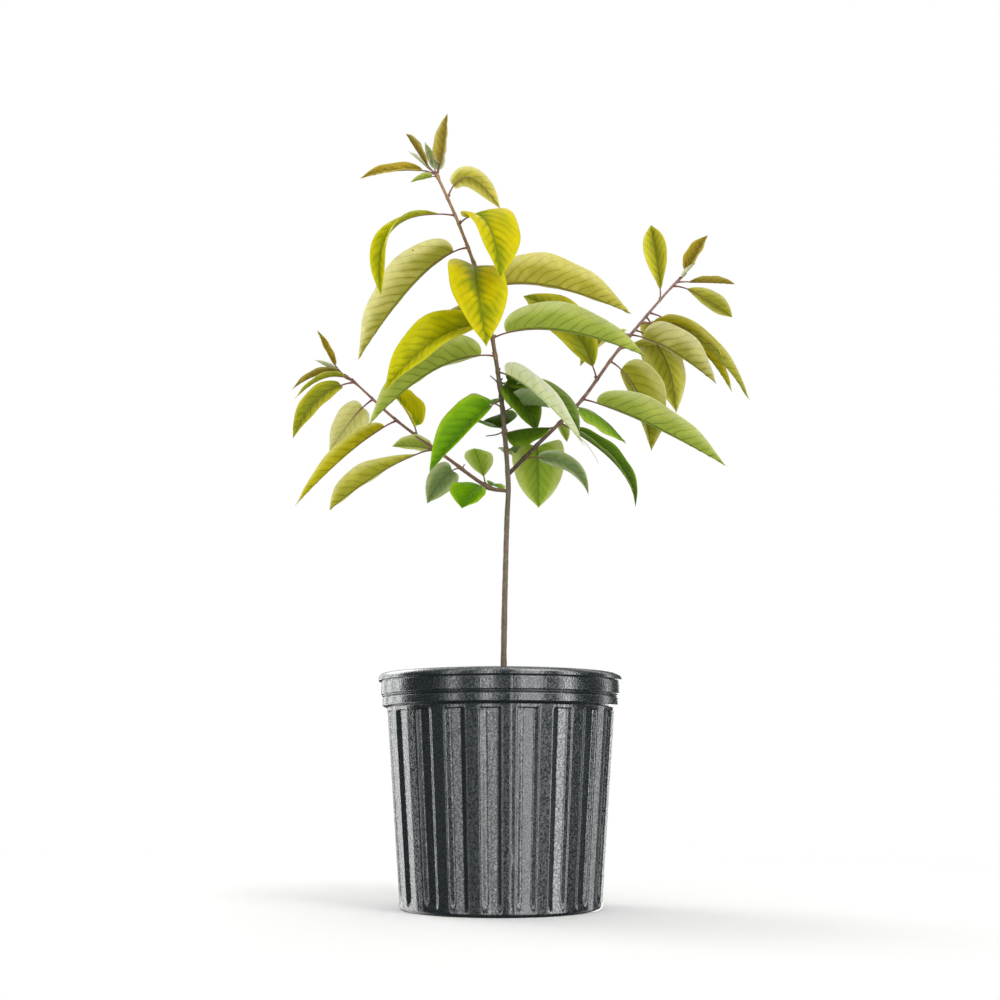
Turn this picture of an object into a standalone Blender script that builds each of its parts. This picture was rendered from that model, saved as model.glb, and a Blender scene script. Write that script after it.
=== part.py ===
"""A young American persimmon in a black fluted nursery pot.

Run with:  blender --background --python part.py

Metres, +Z up, front towards -Y. The origin is the centre of the pot's flat foot.
The trunk rises out of the potting mix, gives off a right and a left bough, and goes on as
the leader. Each shoot's leafy end is one mass: its twig, its petioles and its blades are
fused. Leaves that sit on bare wood are small solids of their own, 0.3 mm clear of it.
"""

import math
from collections import namedtuple

import bmesh
import bpy
import numpy as np
from mathutils import Vector

MM = 0.001
CLEAR = 0.3 * MM

# The pot: a three-gallon nursery can
LIP_RADIUS = 130 * MM
POT_HEIGHT = 241 * MM
FOOT_RADIUS = 105 * MM
WALL_TOP_RADIUS = 120.5 * MM
WALL_TOP = 204 * MM
UPPER_BAND_RADIUS = 127 * MM
LOWER_BAND_RADIUS = 125.5 * MM
POT_WALL = 1.6 * MM
POT_FLOOR = 2.6 * MM
LIP_WIDTH = 7 * MM
FLUTES = 20
FLUTE_DEPTH = 3.2 * MM
FLUTE_EDGES = (0.03, 0.45, 0.55, 0.97)
FLUTE_RUN_OUT = 5 * MM
FLUTE_TOP = 200 * MM
FLUTE_FOOT = 6 * MM
DRAIN_HOLES = 6
DRAIN_RADIUS = 7 * MM
DRAIN_CIRCLE = 78 * MM

# The potting mix
SOIL_TOP = 223 * MM
SOIL_EDGE_DROP = 5 * MM
SOIL_FLAT_RADIUS = 16 * MM
SOIL_SIDES = 48

# The wood. Each limb is a smooth line through a few joints, given in millimetres.
TRUNK_LINE = (
    (2.5, 0, 223.3), (4, -1, 321), (6.5, -3, 408), (7.5, -4, 458), (-2, -8, 563),
    (-20, -15, 662), (-46, -24, 737), (-72, -30, 796),
)
RIGHT_LINE = (
    (7.5, -4, 458), (41, 6, 495), (89, 20, 547), (133, 33, 610), (186, 45, 677), (215, 50, 709),
)
LEFT_LINE = (
    (7, -4, 440), (-16, 3, 447), (-58, 15, 480), (-117, 28, 527), (-164, 37, 572), (-177, 38, 581),
)
FOOT_DIAMETER = 6.6 * MM
FORK_DIAMETER = 5.4 * MM
FORK_HEIGHT = 460 * MM
LEADER_TIP_DIAMETER = 3.2 * MM
LEADER_HEIGHT = 800 * MM
RIGHT_DIAMETERS = (4.6 * MM, 2.6 * MM)
LEFT_DIAMETERS = (4.2 * MM, 2.4 * MM)
ROOT_FLARE = 1.4
FLARE_HEIGHT = 14 * MM
TRUNK_END = 586 * MM
LEADER_TOP = 790 * MM
RIGHT_BOUGH_END = 510 * MM
LEFT_BOUGH_END = 480 * MM
LIMB_STEP = 14 * MM

# The leaves
STALK_LENGTH = 17 * MM
STALK_SHARE = 0.2
STALK_RADII = (1.1 * MM, 0.8 * MM)
STALK_INTO_BLADE = 0.14
STALK_STEPS = 5
FULL_STALK_LEAF = 60 * MM
BLADE_THICKNESS = 0.0105
THINNEST_BLADE = 0.5 * MM
BLADE_STEP = 16 * MM
BLADE_ROWS = (4, 8)
NARROWEST_HALF = 1.2
OPEN_HALF = (1.2, 4.2)
WIDEST_AT = 0.37
BASE_ROUNDING = 0.55
BASE_SWEEP = 0.4

# One leaf: the height of its joint above the foot, the way from there to its tip (right,
# back, up), how far its midrib arches over that line, how far its upper face is rolled
# towards the front, its blade's width, how far each half is folded up, how far along the
# line the arch's pull lies, and how far the midrib bows to the right. Millimetres,
# degrees, and a share of the line.
Leaf = namedtuple("Leaf", "joint tip arch roll width fold lead sway", defaults=(20, 0.3, 0))

LEADER_LEAVES = (
    Leaf(591, (-137, -35, -88), 19, -30, 60, 35),
    Leaf(611, (170, -5, -22), 18, -30, 62, 50),
    Leaf(623, (-112, -55, -86), 19, 50, 56, 30),
    Leaf(646, (-76, 64, -67), 16, 0, 50, 25),
    Leaf(665, (168, 30, -17), 17, -30, 72, 50),
    Leaf(693, (14, -95, -121), 26, -5, 66, 10, 0.3, -5),
    Leaf(703, (25, 100, -61), 16, 0, 50, 25),
    Leaf(713, (-122, 15, -125), 16, -30, 68, 50, 0.2),
    Leaf(722, (63, 96, -17), 16, 0, 49, 25),
    Leaf(737, (48, -80, -89), 24, 15, 70, 10),
    Leaf(749, (-80, -20, -99), 40, 0, 34, 30, 0.45),
    Leaf(769, (59, 20, -5), 30, -60, 25, 20, 0.25),
    Leaf(793, (-30, -12, -11), 2, -20, 9, 20),
    Leaf(795, (-84, -15, -10), 8, 35, 18, 20),
    Leaf(795, (11, -10, 69), -3, 0, 20, 30),
    Leaf(795, (-34, -8, 46), -2, 0, 11, 30),
    Leaf(795.5, (5, 5, 42), 0, 0, 9, 40),
    Leaf(795.5, (-14, 10, 46), 0, 0, 7, 40),
    Leaf(795, (-33, 16, 39), 0, 0, 7, 30),
)
RIGHT_LEAVES = (
    Leaf(520, (10, 30, -14), 4, 0, 14),
    Leaf(529, (73, -30, -108), 15, 20, 34, 30, 0.7),
    Leaf(540, (55, 10, -37), 3, 30, 30, -30),
    Leaf(550, (154, -35, -84), 6, -30, 54, 50),
    Leaf(574, (-79, 45, 110), 17, 60, 46, 15, 0.5),
    Leaf(597, (44, -60, -107), 12, 0, 50, 20),
    Leaf(611, (81, 70, -29), 16, 0, 46, 25),
    Leaf(628, (-53, 70, -15), 16, 0, 38, 25),
    Leaf(630, (90, -45, -70), 7, -30, 56, 50),
    Leaf(636, (49, 30, -90), 22, -75, 50, 15),
    Leaf(646, (112, 40, -76), 14, 40, 34, 20),
    Leaf(653, (37, 76, -85), 16, 0, 50, 25),
    Leaf(658, (113, 5, -102), 15, -30, 29, 50, 0.4),
    Leaf(674, (-6, 25, 101), -6, 0, 30, 35, 0.3, 5),
    Leaf(692, (67, -5, -39), 6, -60, 26, 10),
    Leaf(697, (71, 20, 5), 1, -10, 14, 30),
    Leaf(699, (19, -12, 18), 0, 0, 7, 30),
    Leaf(706, (27, -10, 45), 0, 40, 19, 25),
)
LEFT_LEAVES = (
    Leaf(487, (-56, 25, 14), 4, -30, 30),
    Leaf(492, (-113, -25, -73), 4, -55, 32, 10),
    Leaf(508, (-28, -28, 44), 16, 30, 50, 30),
    Leaf(527, (-106, -40, -104), 7, -30, 31, 50),
    Leaf(553, (-53, 40, -52), 5, -60, 36, 10),
    Leaf(572, (-68, -12, -20), 16, 10, 20, 30),
    Leaf(574, (-64, -30, -72), 13, 50, 30, 20, 0.4),
    Leaf(579, (-66, 10, -10), 12, 0, 14, 30),
    Leaf(579.5, (-39, 12, 25), 0, 0, 8, 30),
    Leaf(580, (-34, 0, 56), -4, 0, 10, 30),
)
TRUNK_LEAVES = (
    Leaf(486, (19, 70, 4), 4, -10, 34),
    Leaf(504, (50, -45, -4), 3, 45, 34, -45),
    Leaf(506, (-18, 42, 30), 3, 0, 36),
    Leaf(526, (49, -18, 3), 7, -30, 30, 50),
    Leaf(542, (-76, -55, -92), 12, 40, 46, 28),
    Leaf(547, (43, 18, -39), 10, -40, 34),
    Leaf(557, (87, 2, -50), 22, -30, 36, 20, 0.6),
    Leaf(568, (84, -90, -93), 8, -45, 42, 40),
    Leaf(532, (-60, 74, -11), 16, 0, 40, 25),
    Leaf(558, (68, 90, -15), 16, 0, 48, 25),
)
RIGHT_BOUGH_LEAVES = (
    Leaf(478, (69, -25, -46), 18, -60, 20, 10, 0.6),
    Leaf(493, (3, 32, -64), 18, 0, 60, 10, 0.2),
)
LEFT_BOUGH_LEAVES = (
    Leaf(446, (15, 35, 2), 4, 0, 16),
    Leaf(446.5, (-26, -50, -33), 10, 10, 54, 15),
    Leaf(447.5, (-12, -45, 32), 4, 0, 32, 10),
    Leaf(469, (-38, 30, -34), 14, -40, 30, 20),
)

# Linear colour, roughness
FINISHES = {
    "black_plastic": ((0.022, 0.027, 0.029), 0.45),
    "potting_mix": ((0.020, 0.010, 0.008), 0.95),
    "bark": ((0.100, 0.066, 0.045), 0.85),
    "leaf": ((0.350, 0.360, 0.045), 0.50),
}


def clear_scene():
    for obj in list(bpy.data.objects):
        bpy.data.objects.remove(obj, do_unlink=True)


def collection(name):
    made = bpy.data.collections.new(name)
    bpy.context.scene.collection.children.link(made)
    return made


def finish(name):
    colour, roughness = FINISHES[name]
    material = bpy.data.materials.new(name)
    material.use_nodes = True
    shader = material.node_tree.nodes["Principled BSDF"]
    shader.inputs["Base Color"].default_value = (*colour, 1)
    shader.inputs["Roughness"].default_value = roughness
    shader.inputs["Metallic"].default_value = 0
    return material


def add(name, mesh, group, material=None):
    obj = bpy.data.objects.new(name, mesh)
    group.objects.link(obj)
    if material:
        mesh.materials.clear()
        mesh.materials.append(material)
    return obj


def baked(obj):
    """The object as its modifiers leave it, as a new mesh in world space."""
    bpy.context.view_layer.update()
    seen = obj.evaluated_get(bpy.context.evaluated_depsgraph_get())
    mesh = bpy.data.meshes.new_from_object(seen)
    mesh.transform(obj.matrix_world)
    return mesh


def smooth_line(joints, step=LIMB_STEP):
    """A curve through the joints (a Catmull-Rom spline), in metres, with a point every step."""
    knots = np.array(joints, float) * MM
    ends = (2 * knots[0] - knots[1], 2 * knots[-1] - knots[-2])
    knots = np.vstack([ends[0], knots, ends[1]])
    line = []
    for a, b, c, d in zip(knots, knots[1:], knots[2:], knots[3:]):
        count = max(2, round(np.linalg.norm(c - b) / step))
        t = (np.arange(count) / count)[:, None]
        line.append(
            0.5 * (2 * b + (c - a) * t + (2 * a - 5 * b + 4 * c - d) * t**2
                   + (3 * b - a - 3 * c + d) * t**3)
        )
    return np.vstack([*line, knots[-2]])


def at_height(line, height):
    """The line's point at a height. Every limb here climbs all the way."""
    return np.array([np.interp(height, line[:, 2], line[:, axis]) for axis in range(3)])


def between(line, low, high):
    """The stretch of a line between two heights."""
    middle = line[(line[:, 2] > low + MM) & (line[:, 2] < high - MM)]
    return np.vstack([at_height(line, low), middle, at_height(line, high)])


def tube(name, line, radii, group, sides=3):
    """A round limb along a line, as a mesh with closed ends. It has 2 * sides + 4 faces round."""
    curve = bpy.data.curves.new(name, "CURVE")
    curve.dimensions = "3D"
    curve.bevel_depth = 1
    curve.bevel_resolution = sides
    curve.use_fill_caps = True
    spline = curve.splines.new("POLY")
    spline.points.add(len(line) - 1)
    for point, place, radius in zip(spline.points, line, radii):
        point.co = (*place, 1)
        point.radius = radius
    guide = add(name + "_guide", curve, group)
    mesh = baked(guide)
    bpy.data.objects.remove(guide)
    shape = bmesh.new()
    shape.from_mesh(mesh)
    bmesh.ops.remove_doubles(shape, verts=shape.verts, dist=0.01 * MM)
    bmesh.ops.recalc_face_normals(shape, faces=shape.faces)
    shape.to_mesh(mesh)
    shape.free()
    return add(name, mesh, group)


def trunk_radius(heights):
    """The trunk's true taper: a flare at the mix, a plain stem to the fork, a fine leader."""
    taper = np.interp(
        heights,
        (SOIL_TOP, FORK_HEIGHT, LEADER_HEIGHT),
        (FOOT_DIAMETER / 2, FORK_DIAMETER / 2, LEADER_TIP_DIAMETER / 2),
    )
    above = np.clip((heights - SOIL_TOP) / FLARE_HEIGHT, 0, 1)
    return taper * (1 + (ROOT_FLARE - 1) * (1 - above) ** 2)


def bough_radius(line, diameters):
    """A taper by height along the whole limb, from its first diameter to its last."""
    low, high = line[0, 2], line[-1, 2]
    return lambda heights: np.interp(heights, (low, high), np.array(diameters) / 2)


def limb(name, line, radius_at, low, high, group, sides=4, grow=0.0):
    """A stretch of a limb, at its own taper, between two heights."""
    stretch = between(line, low, high)
    return tube(name, stretch, radius_at(stretch[:, 2]) + grow, group, sides)


def leaf_midrib(base, leaf, steps):
    """The line of petiole and midrib: a parabola from the joint to the tip, whose control
    point stands a little way along and off the straight line, so that the leaf leaves the
    twig rising and then droops. Evenly spaced points."""
    reach = np.array(leaf.tip, float) * MM
    level = np.array([reach[0], reach[1], 0])
    level /= np.linalg.norm(level)
    along = reach / np.linalg.norm(reach)
    rise = np.array([0, 0, 1.0]) - along[2] * along
    rise /= np.linalg.norm(rise)
    right = np.array([abs(level[1]), -level[0] * math.copysign(1, level[1]), 0])
    control = base + leaf.lead * reach + 2 * leaf.arch * MM * rise + 2 * leaf.sway * MM * right
    t = np.linspace(0, 1, 60)[:, None]
    fine = (1 - t) ** 2 * base + 2 * t * (1 - t) * control + t**2 * (base + reach)
    run = np.concatenate([[0], np.cumsum(np.linalg.norm(np.diff(fine, axis=0), axis=1))])
    even = np.linspace(0, run[-1], steps)
    line = np.stack([np.interp(even, run, fine[:, axis]) for axis in range(3)], axis=1)
    return line, level, run[-1]


def stalk_share(length):
    """The petiole's share of the leaf's length."""
    return min(STALK_LENGTH, STALK_SHARE * length) / length


def blade_outline(t):
    """Half width as a share of the greatest, from the rounded base to the drawn-out tip:
    t^a (1 - t)^b, which is widest at a / (a + b)."""
    a = BASE_ROUNDING
    b = a * (1 - WIDEST_AT) / WIDEST_AT
    peak = WIDEST_AT**a * (1 - WIDEST_AT) ** b
    return t**a * (1 - t) ** b / peak


def blade(name, base, leaf, group):
    """A leaf's blade: a flat grid bent along the midrib, folded up on both sides of it,
    given its thickness by Solidify. Where it narrows to a few thicknesses it opens flat, so
    that its two halves don't run into each other."""
    line, level, length = leaf_midrib(base, leaf, 61)
    start = stalk_share(length)
    thickness = max(THINNEST_BLADE, BLADE_THICKNESS * length)
    rows = int(np.clip(round(length / BLADE_STEP), *BLADE_ROWS))
    shape = bmesh.new()
    bmesh.ops.create_grid(shape, x_segments=rows, y_segments=2, size=1)
    position = np.linspace(0, 1, len(line))
    tangents = np.gradient(line, axis=0)
    for vert in shape.verts:
        t = (vert.co.x + 1) / 2
        across = vert.co.y
        s = start + t * (1 - start)
        centre = np.array([np.interp(s, position, line[:, k]) for k in range(3)])
        ahead = np.array([np.interp(s, position, tangents[:, k]) for k in range(3)])
        ahead /= np.linalg.norm(ahead)
        side, face = blade_axes(ahead, level, leaf.roll)
        half = max(NARROWEST_HALF * thickness, leaf.width * MM / 2 * blade_outline(t))
        fold = math.radians(leaf.fold) * np.interp(half / thickness, OPEN_HALF, (0, 1))
        out = across * half * math.cos(fold) * side
        lift = abs(across) * half * math.sin(fold) * face
        back = abs(across) * half * BASE_SWEEP * (1 - t) ** 2 * ahead
        vert.co = Vector(centre + out + lift - back)
    mesh = bpy.data.meshes.new(name)
    shape.to_mesh(mesh)
    shape.free()
    sheet = add(name, mesh, group)
    thick = sheet.modifiers.new("Thickness", "SOLIDIFY")
    thick.thickness = thickness
    thick.offset = 0
    solid = baked(sheet)
    bpy.data.objects.remove(sheet)
    return add(name, solid, group)


def blade_axes(ahead, level, roll):
    """The directions across a blade and out of its upper face, at a point where the midrib
    runs ahead. The face looks up and out, and a positive roll turns it to the front."""
    up = np.array([0, 0, 1.0])
    face = -ahead[2] * level + np.dot(ahead, level) * up
    side = np.cross(ahead, face)
    side /= np.linalg.norm(side)
    face = np.cross(side, ahead)
    front = -1 if side[1] > 0 else 1
    turn = math.radians(roll) * front
    return (
        math.cos(turn) * side - math.sin(turn) * face,
        math.cos(turn) * face + math.sin(turn) * side,
    )


def stalk(name, base, leaf, group):
    """A leaf's petiole, from inside the twig to well inside the blade."""
    line, _, length = leaf_midrib(base, leaf, 61)
    end = stalk_share(length) + STALK_INTO_BLADE
    stop = max(3, round(end * (len(line) - 1)))
    keep = np.unique(np.linspace(0, stop, STALK_STEPS).round().astype(int))
    size = min(1, length / FULL_STALK_LEAF)
    radii = np.linspace(*STALK_RADII, len(keep)) * size
    return tube(name, line[keep], radii, group, sides=0)


def joined(name, first, others, group, material, solver="EXACT"):
    """One Boolean union of the first object with all of a collection, which is then removed."""
    union = first.modifiers.new("Join", "BOOLEAN")
    union.operation = "UNION"
    union.operand_type = "COLLECTION"
    union.collection = others
    union.solver = solver
    mesh = baked(first)
    for obj in [first, *others.objects]:
        bpy.data.objects.remove(obj)
    bpy.data.collections.remove(others)
    keep_largest(mesh)
    return add(name, mesh, group, material)


def leaf_solids(leaves, line, loose):
    """The petioles and blades of some leaves on one limb."""
    for number, leaf in enumerate(leaves):
        base = at_height(line, leaf.joint * MM)
        stalk(f"stalk_{number}", base, leaf, loose)
        blade(f"blade_{number}", base, leaf, loose)


def foliage_mass(name, line, radius_at, low, leaves, group, material):
    """A leafy shoot: its twig from a height to the limb's tip, with its leaves fused on."""
    loose = collection(name + "_pieces")
    start = low + CLEAR
    leaf_solids(leaves, line, loose)
    twig = limb(name + "_twig", line, radius_at, start, line[-1, 2], group, sides=2)
    return joined(name, twig, loose, group, material)


def single_leaf(name, leaf, line, wood, group, material):
    """A leaf on bare wood: petiole and blade fused, cut back to stand clear of the limb."""
    loose = collection(name + "_pieces")
    base = at_height(line, leaf.joint * MM)
    first = stalk(name + "_stalk", base, leaf, group)
    blade(name + "_blade", base, leaf, loose)
    obj = joined(name, first, loose, group, material)
    return cut_clear(obj, wood, group, material)


def cut_clear(obj, wood, group, material):
    """The object without what a slightly thicker limb covers, keeping its largest piece."""
    for part in wood:
        cut = obj.modifiers.new("Clear", "BOOLEAN")
        cut.operation = "DIFFERENCE"
        cut.object = part
        cut.solver = "EXACT"
    name = obj.name
    mesh = baked(obj)
    bpy.data.objects.remove(obj)
    keep_largest(mesh)
    return add(name, mesh, group, material)


def keep_largest(mesh):
    """Drops every shell of a mesh but the largest: loose scraps, and the walls of hollows."""
    shape = bmesh.new()
    shape.from_mesh(mesh)
    keep = max(loose_islands(shape), key=len)
    scraps = [v for v in shape.verts if v.index not in keep]
    bmesh.ops.delete(shape, geom=scraps, context="VERTS")
    shape.to_mesh(mesh)
    shape.free()


def loose_islands(shape):
    """The sets of vertex indices that hang together."""
    shape.verts.ensure_lookup_table()
    shape.verts.index_update()
    left = set(range(len(shape.verts)))
    found = []
    while left:
        reached, edge = set(), [left.pop()]
        while edge:
            index = edge.pop()
            reached.add(index)
            for link in shape.verts[index].link_edges:
                other = link.other_vert(shape.verts[index]).index
                if other in left:
                    left.remove(other)
                    edge.append(other)
        found.append(reached)
    return found


def turned(name, profile, steps, group):
    """A profile of (radius, height), from axis to axis, carried round the Z axis by Screw."""
    mesh = bpy.data.meshes.new(name)
    edges = [(i, i + 1) for i in range(len(profile) - 1)]
    mesh.from_pydata([(r, 0, z) for r, z in profile], edges, [])
    obj = add(name, mesh, group)
    screw = obj.modifiers.new("Turn", "SCREW")
    screw.steps = steps
    screw.render_steps = steps
    screw.use_merge_vertices = True
    screw.merge_threshold = 0.00001
    screw.use_normal_calculate = True
    return obj


def wall_radius(height):
    """The outer radius of the pot's tapering wall, on a ridge."""
    return FOOT_RADIUS + (WALL_TOP_RADIUS - FOOT_RADIUS) * height / WALL_TOP


def pot_profile():
    """The pot's section: out across the inner floor, up the inner side, over the lip, down
    the outer side and back across the foot."""
    lip_in = LIP_RADIUS - LIP_WIDTH
    hollow = LOWER_BAND_RADIUS - POT_WALL - 1.5 * MM
    flute_low = FLUTE_FOOT + FLUTE_RUN_OUT
    flute_high = FLUTE_TOP - FLUTE_RUN_OUT
    inner = [
        (0, POT_FLOOR),
        (wall_radius(POT_FLOOR) - POT_WALL - 1 * MM, POT_FLOOR),
        (wall_radius(FLUTE_FOOT) - POT_WALL, FLUTE_FOOT),
        (wall_radius(flute_low) - POT_WALL, flute_low),
        (wall_radius(flute_high) - POT_WALL, flute_high),
        (wall_radius(FLUTE_TOP) - POT_WALL, FLUTE_TOP),
        (hollow, WALL_TOP + 5 * MM),
        (hollow, WALL_TOP + 14 * MM),
        (lip_in - 0.6 * MM, POT_HEIGHT - 3 * MM),
    ]
    lip = [
        (lip_in, POT_HEIGHT - 0.6 * MM),
        (LIP_RADIUS - 5 * MM, POT_HEIGHT),
        (LIP_RADIUS - 2 * MM, POT_HEIGHT - 1.8 * MM),
        (LIP_RADIUS, WALL_TOP + 31.5 * MM),
        (LIP_RADIUS, WALL_TOP + 29.5 * MM),
        (LIP_RADIUS - 2.4 * MM, WALL_TOP + 29 * MM),
    ]
    bands = [
        (UPPER_BAND_RADIUS, WALL_TOP + 27.5 * MM),
        (UPPER_BAND_RADIUS, WALL_TOP + 15 * MM),
        (UPPER_BAND_RADIUS - 1.6 * MM, WALL_TOP + 13.8 * MM),
        (LOWER_BAND_RADIUS - 1.6 * MM, WALL_TOP + 12.6 * MM),
        (LOWER_BAND_RADIUS, WALL_TOP + 11.5 * MM),
        (LOWER_BAND_RADIUS, WALL_TOP + 4 * MM),
        (LOWER_BAND_RADIUS - 0.8 * MM, WALL_TOP + 2.2 * MM),
        (WALL_TOP_RADIUS, WALL_TOP + 1.5 * MM),
    ]
    outer = [
        (wall_radius(FLUTE_TOP), FLUTE_TOP),
        (wall_radius(flute_high), flute_high),
        (wall_radius(flute_low), flute_low),
        (wall_radius(FLUTE_FOOT), FLUTE_FOOT),
        (wall_radius(2.5 * MM), 2.5 * MM),
        (FOOT_RADIUS - 2.5 * MM, 0),
        (0, 0),
    ]
    return inner + lip + bands + outer


def flute(mesh):
    """Pushes the turned wall in between the ridges. Each flute has four columns of points,
    the ridge's two edges and the groove's two, which are drawn together in pairs to leave
    steep sides. FLUTE_EDGES are their places across a flute."""
    columns = len(FLUTE_EDGES)
    for vert in mesh.vertices:
        x, y, z = vert.co
        radius = math.hypot(x, y)
        if radius < FOOT_RADIUS - 5 * MM or not 5 * MM < z < FLUTE_TOP - MM:
            continue
        turn = math.atan2(y, x) / math.tau * FLUTES
        column = round((turn % 1) * columns) % columns
        grooved = column >= columns / 2 and z > FLUTE_FOOT + MM
        depth = FLUTE_DEPTH if grooved else 0
        angle = (math.floor(turn + 0.5 / columns) + FLUTE_EDGES[column]) / FLUTES * math.tau
        vert.co.x = (radius - depth) * math.cos(angle)
        vert.co.y = (radius - depth) * math.sin(angle)


def make_pot(group, cutters, material):
    raw = turned("pot_turned", pot_profile(), FLUTES * len(FLUTE_EDGES), group)
    mesh = baked(raw)
    bpy.data.objects.remove(raw)
    flute(mesh)
    shape = bmesh.new()
    shape.from_mesh(mesh)
    bmesh.ops.remove_doubles(shape, verts=shape.verts, dist=0.01 * MM)
    bmesh.ops.recalc_face_normals(shape, faces=shape.faces)
    shape.to_mesh(mesh)
    shape.free()
    pot = add("pot", mesh, group, material)
    for number in range(DRAIN_HOLES):
        angle = math.tau * (number + 0.5) / DRAIN_HOLES
        bpy.ops.mesh.primitive_cylinder_add(
            vertices=16, radius=DRAIN_RADIUS, depth=20 * MM,
            location=(DRAIN_CIRCLE * math.cos(angle), DRAIN_CIRCLE * math.sin(angle), 0),
        )
        drill = bpy.context.active_object
        drill.name = f"drain_cutter_{number}"
        as_helper(drill, cutters)
        cut = pot.modifiers.new("Drain", "BOOLEAN")
        cut.operation = "DIFFERENCE"
        cut.object = drill
        cut.solver = "EXACT"
    return pot


def as_helper(obj, cutters):
    """Moves a cutter to its own collection and keeps it out of renders."""
    for owner in list(obj.users_collection):
        owner.objects.unlink(obj)
    cutters.objects.link(obj)
    obj.hide_render = True
    obj.display_type = "WIRE"


def make_soil(group, material):
    """The potting mix: it fills the pot inside the grooves and is a little lower at the rim."""
    inset = POT_WALL + FLUTE_DEPTH + CLEAR
    low = POT_FLOOR + CLEAR
    edge = SOIL_TOP - SOIL_EDGE_DROP
    profile = [
        (0, SOIL_TOP),
        (SOIL_FLAT_RADIUS, SOIL_TOP),
        (60 * MM, SOIL_TOP - 1.5 * MM),
        (WALL_TOP_RADIUS - POT_WALL - 4 * MM, edge),
        (wall_radius(FLUTE_TOP) - inset, FLUTE_TOP),
        (wall_radius(FLUTE_FOOT) - inset, FLUTE_FOOT),
        (wall_radius(FLUTE_FOOT) - inset - 2 * MM, low),
        (0, low),
    ]
    raw = turned("soil_turned", profile, SOIL_SIDES, group)
    mesh = baked(raw)
    bpy.data.objects.remove(raw)
    shape = bmesh.new()
    shape.from_mesh(mesh)
    bmesh.ops.remove_doubles(shape, verts=shape.verts, dist=0.01 * MM)
    bmesh.ops.recalc_face_normals(shape, faces=shape.faces)
    shape.to_mesh(mesh)
    shape.free()
    return add("potting_mix", mesh, group, material)


def main():
    clear_scene()
    parts = collection("potted_persimmon")
    cutters = collection("cutters")
    plastic, mix, bark, green = (finish(name) for name in FINISHES)

    make_pot(parts, cutters, plastic)
    make_soil(parts, mix)

    trunk_line = smooth_line(TRUNK_LINE)
    right_line = smooth_line(RIGHT_LINE)
    left_line = smooth_line(LEFT_LINE)
    right_radius = bough_radius(right_line, RIGHT_DIAMETERS)
    left_radius = bough_radius(left_line, LEFT_DIAMETERS)

    trunk = limb("trunk", trunk_line, trunk_radius, SOIL_TOP + CLEAR, TRUNK_END, parts)
    trunk.data.materials.append(bark)
    thick_trunk = limb(
        "trunk_clearance", trunk_line, trunk_radius, SOIL_TOP, LEADER_TOP, parts, grow=CLEAR
    )
    as_helper(thick_trunk, cutters)

    boughs = (
        ("right", right_line, right_radius, RIGHT_BOUGH_END, RIGHT_BOUGH_LEAVES),
        ("left", left_line, left_radius, LEFT_BOUGH_END, LEFT_BOUGH_LEAVES),
    )
    for side, line, radius_at, end, leaves in boughs:
        raw = limb(f"bough_{side}", line, radius_at, line[0, 2], end, parts)
        cut_clear(raw, [thick_trunk], parts, bark)
        thick = limb(
            f"bough_{side}_clearance", line, radius_at, line[0, 2], end + MM, parts, grow=CLEAR
        )
        as_helper(thick, cutters)
        for number, leaf in enumerate(leaves, 1):
            single_leaf(
                f"{side}_bough_leaf_{number}", leaf, line, [thick, thick_trunk], parts, green
            )
    for number, leaf in enumerate(TRUNK_LEAVES, 1):
        single_leaf(f"trunk_leaf_{number}", leaf, trunk_line, [thick_trunk], parts, green)

    foliage_mass(
        "foliage_leader", trunk_line, trunk_radius, TRUNK_END, LEADER_LEAVES, parts, green
    )
    foliage_mass(
        "foliage_right", right_line, right_radius, RIGHT_BOUGH_END, RIGHT_LEAVES, parts, green
    )
    foliage_mass(
        "foliage_left", left_line, left_radius, LEFT_BOUGH_END, LEFT_LEAVES, parts, green
    )


main()
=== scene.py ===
# %% [markdown]
# # A young American persimmon in a fluted nursery pot
#
# A sapling as a nursery sells it: a stem no thicker than a pencil, two side boughs, about
# sixty drooping leaves on their way from green to autumn yellow, and a black plastic can of
# potting mix. The plain solids of all this are loaded first and set every size. Each cell then
# makes one piece or one finish that goes over them.
#
# Everything new is a surface worked out with numpy, a function of two numbers on a grid. That
# keeps a leaf, a stem and a pot wall down to a short formula each.

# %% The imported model
import math
from collections import namedtuple

import bmesh
import bpy
import numpy as np
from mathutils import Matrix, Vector


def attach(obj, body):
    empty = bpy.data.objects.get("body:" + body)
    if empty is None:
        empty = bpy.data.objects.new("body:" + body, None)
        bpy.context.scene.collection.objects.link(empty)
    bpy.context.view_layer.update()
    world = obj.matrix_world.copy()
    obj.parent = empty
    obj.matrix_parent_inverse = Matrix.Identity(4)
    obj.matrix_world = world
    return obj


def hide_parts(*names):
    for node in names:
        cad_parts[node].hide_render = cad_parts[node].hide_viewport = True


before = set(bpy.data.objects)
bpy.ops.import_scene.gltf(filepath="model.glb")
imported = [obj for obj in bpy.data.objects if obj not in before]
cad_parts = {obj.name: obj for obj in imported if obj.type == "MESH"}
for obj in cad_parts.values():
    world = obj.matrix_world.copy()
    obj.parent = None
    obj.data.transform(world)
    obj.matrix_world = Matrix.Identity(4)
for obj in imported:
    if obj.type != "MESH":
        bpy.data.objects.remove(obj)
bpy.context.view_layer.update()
MM = 0.001

# %% [markdown]
# ## Camera
#
# The photograph was taken from low down, with the lens at the height of the pot's middle and
# tipped up, so that the lip hides the potting mix and the leaves show their undersides. The
# pot's lip, slope and height in the picture leave only one distance and one tilt.

# %% Camera
IMAGE_WIDTH = 1000
FOCAL_PIXELS = 1450
SENSOR = 36.0
CAMERA_PLACE = (-0.001, -1.555, 0.136)
CAMERA_TILT = 10.739

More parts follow.
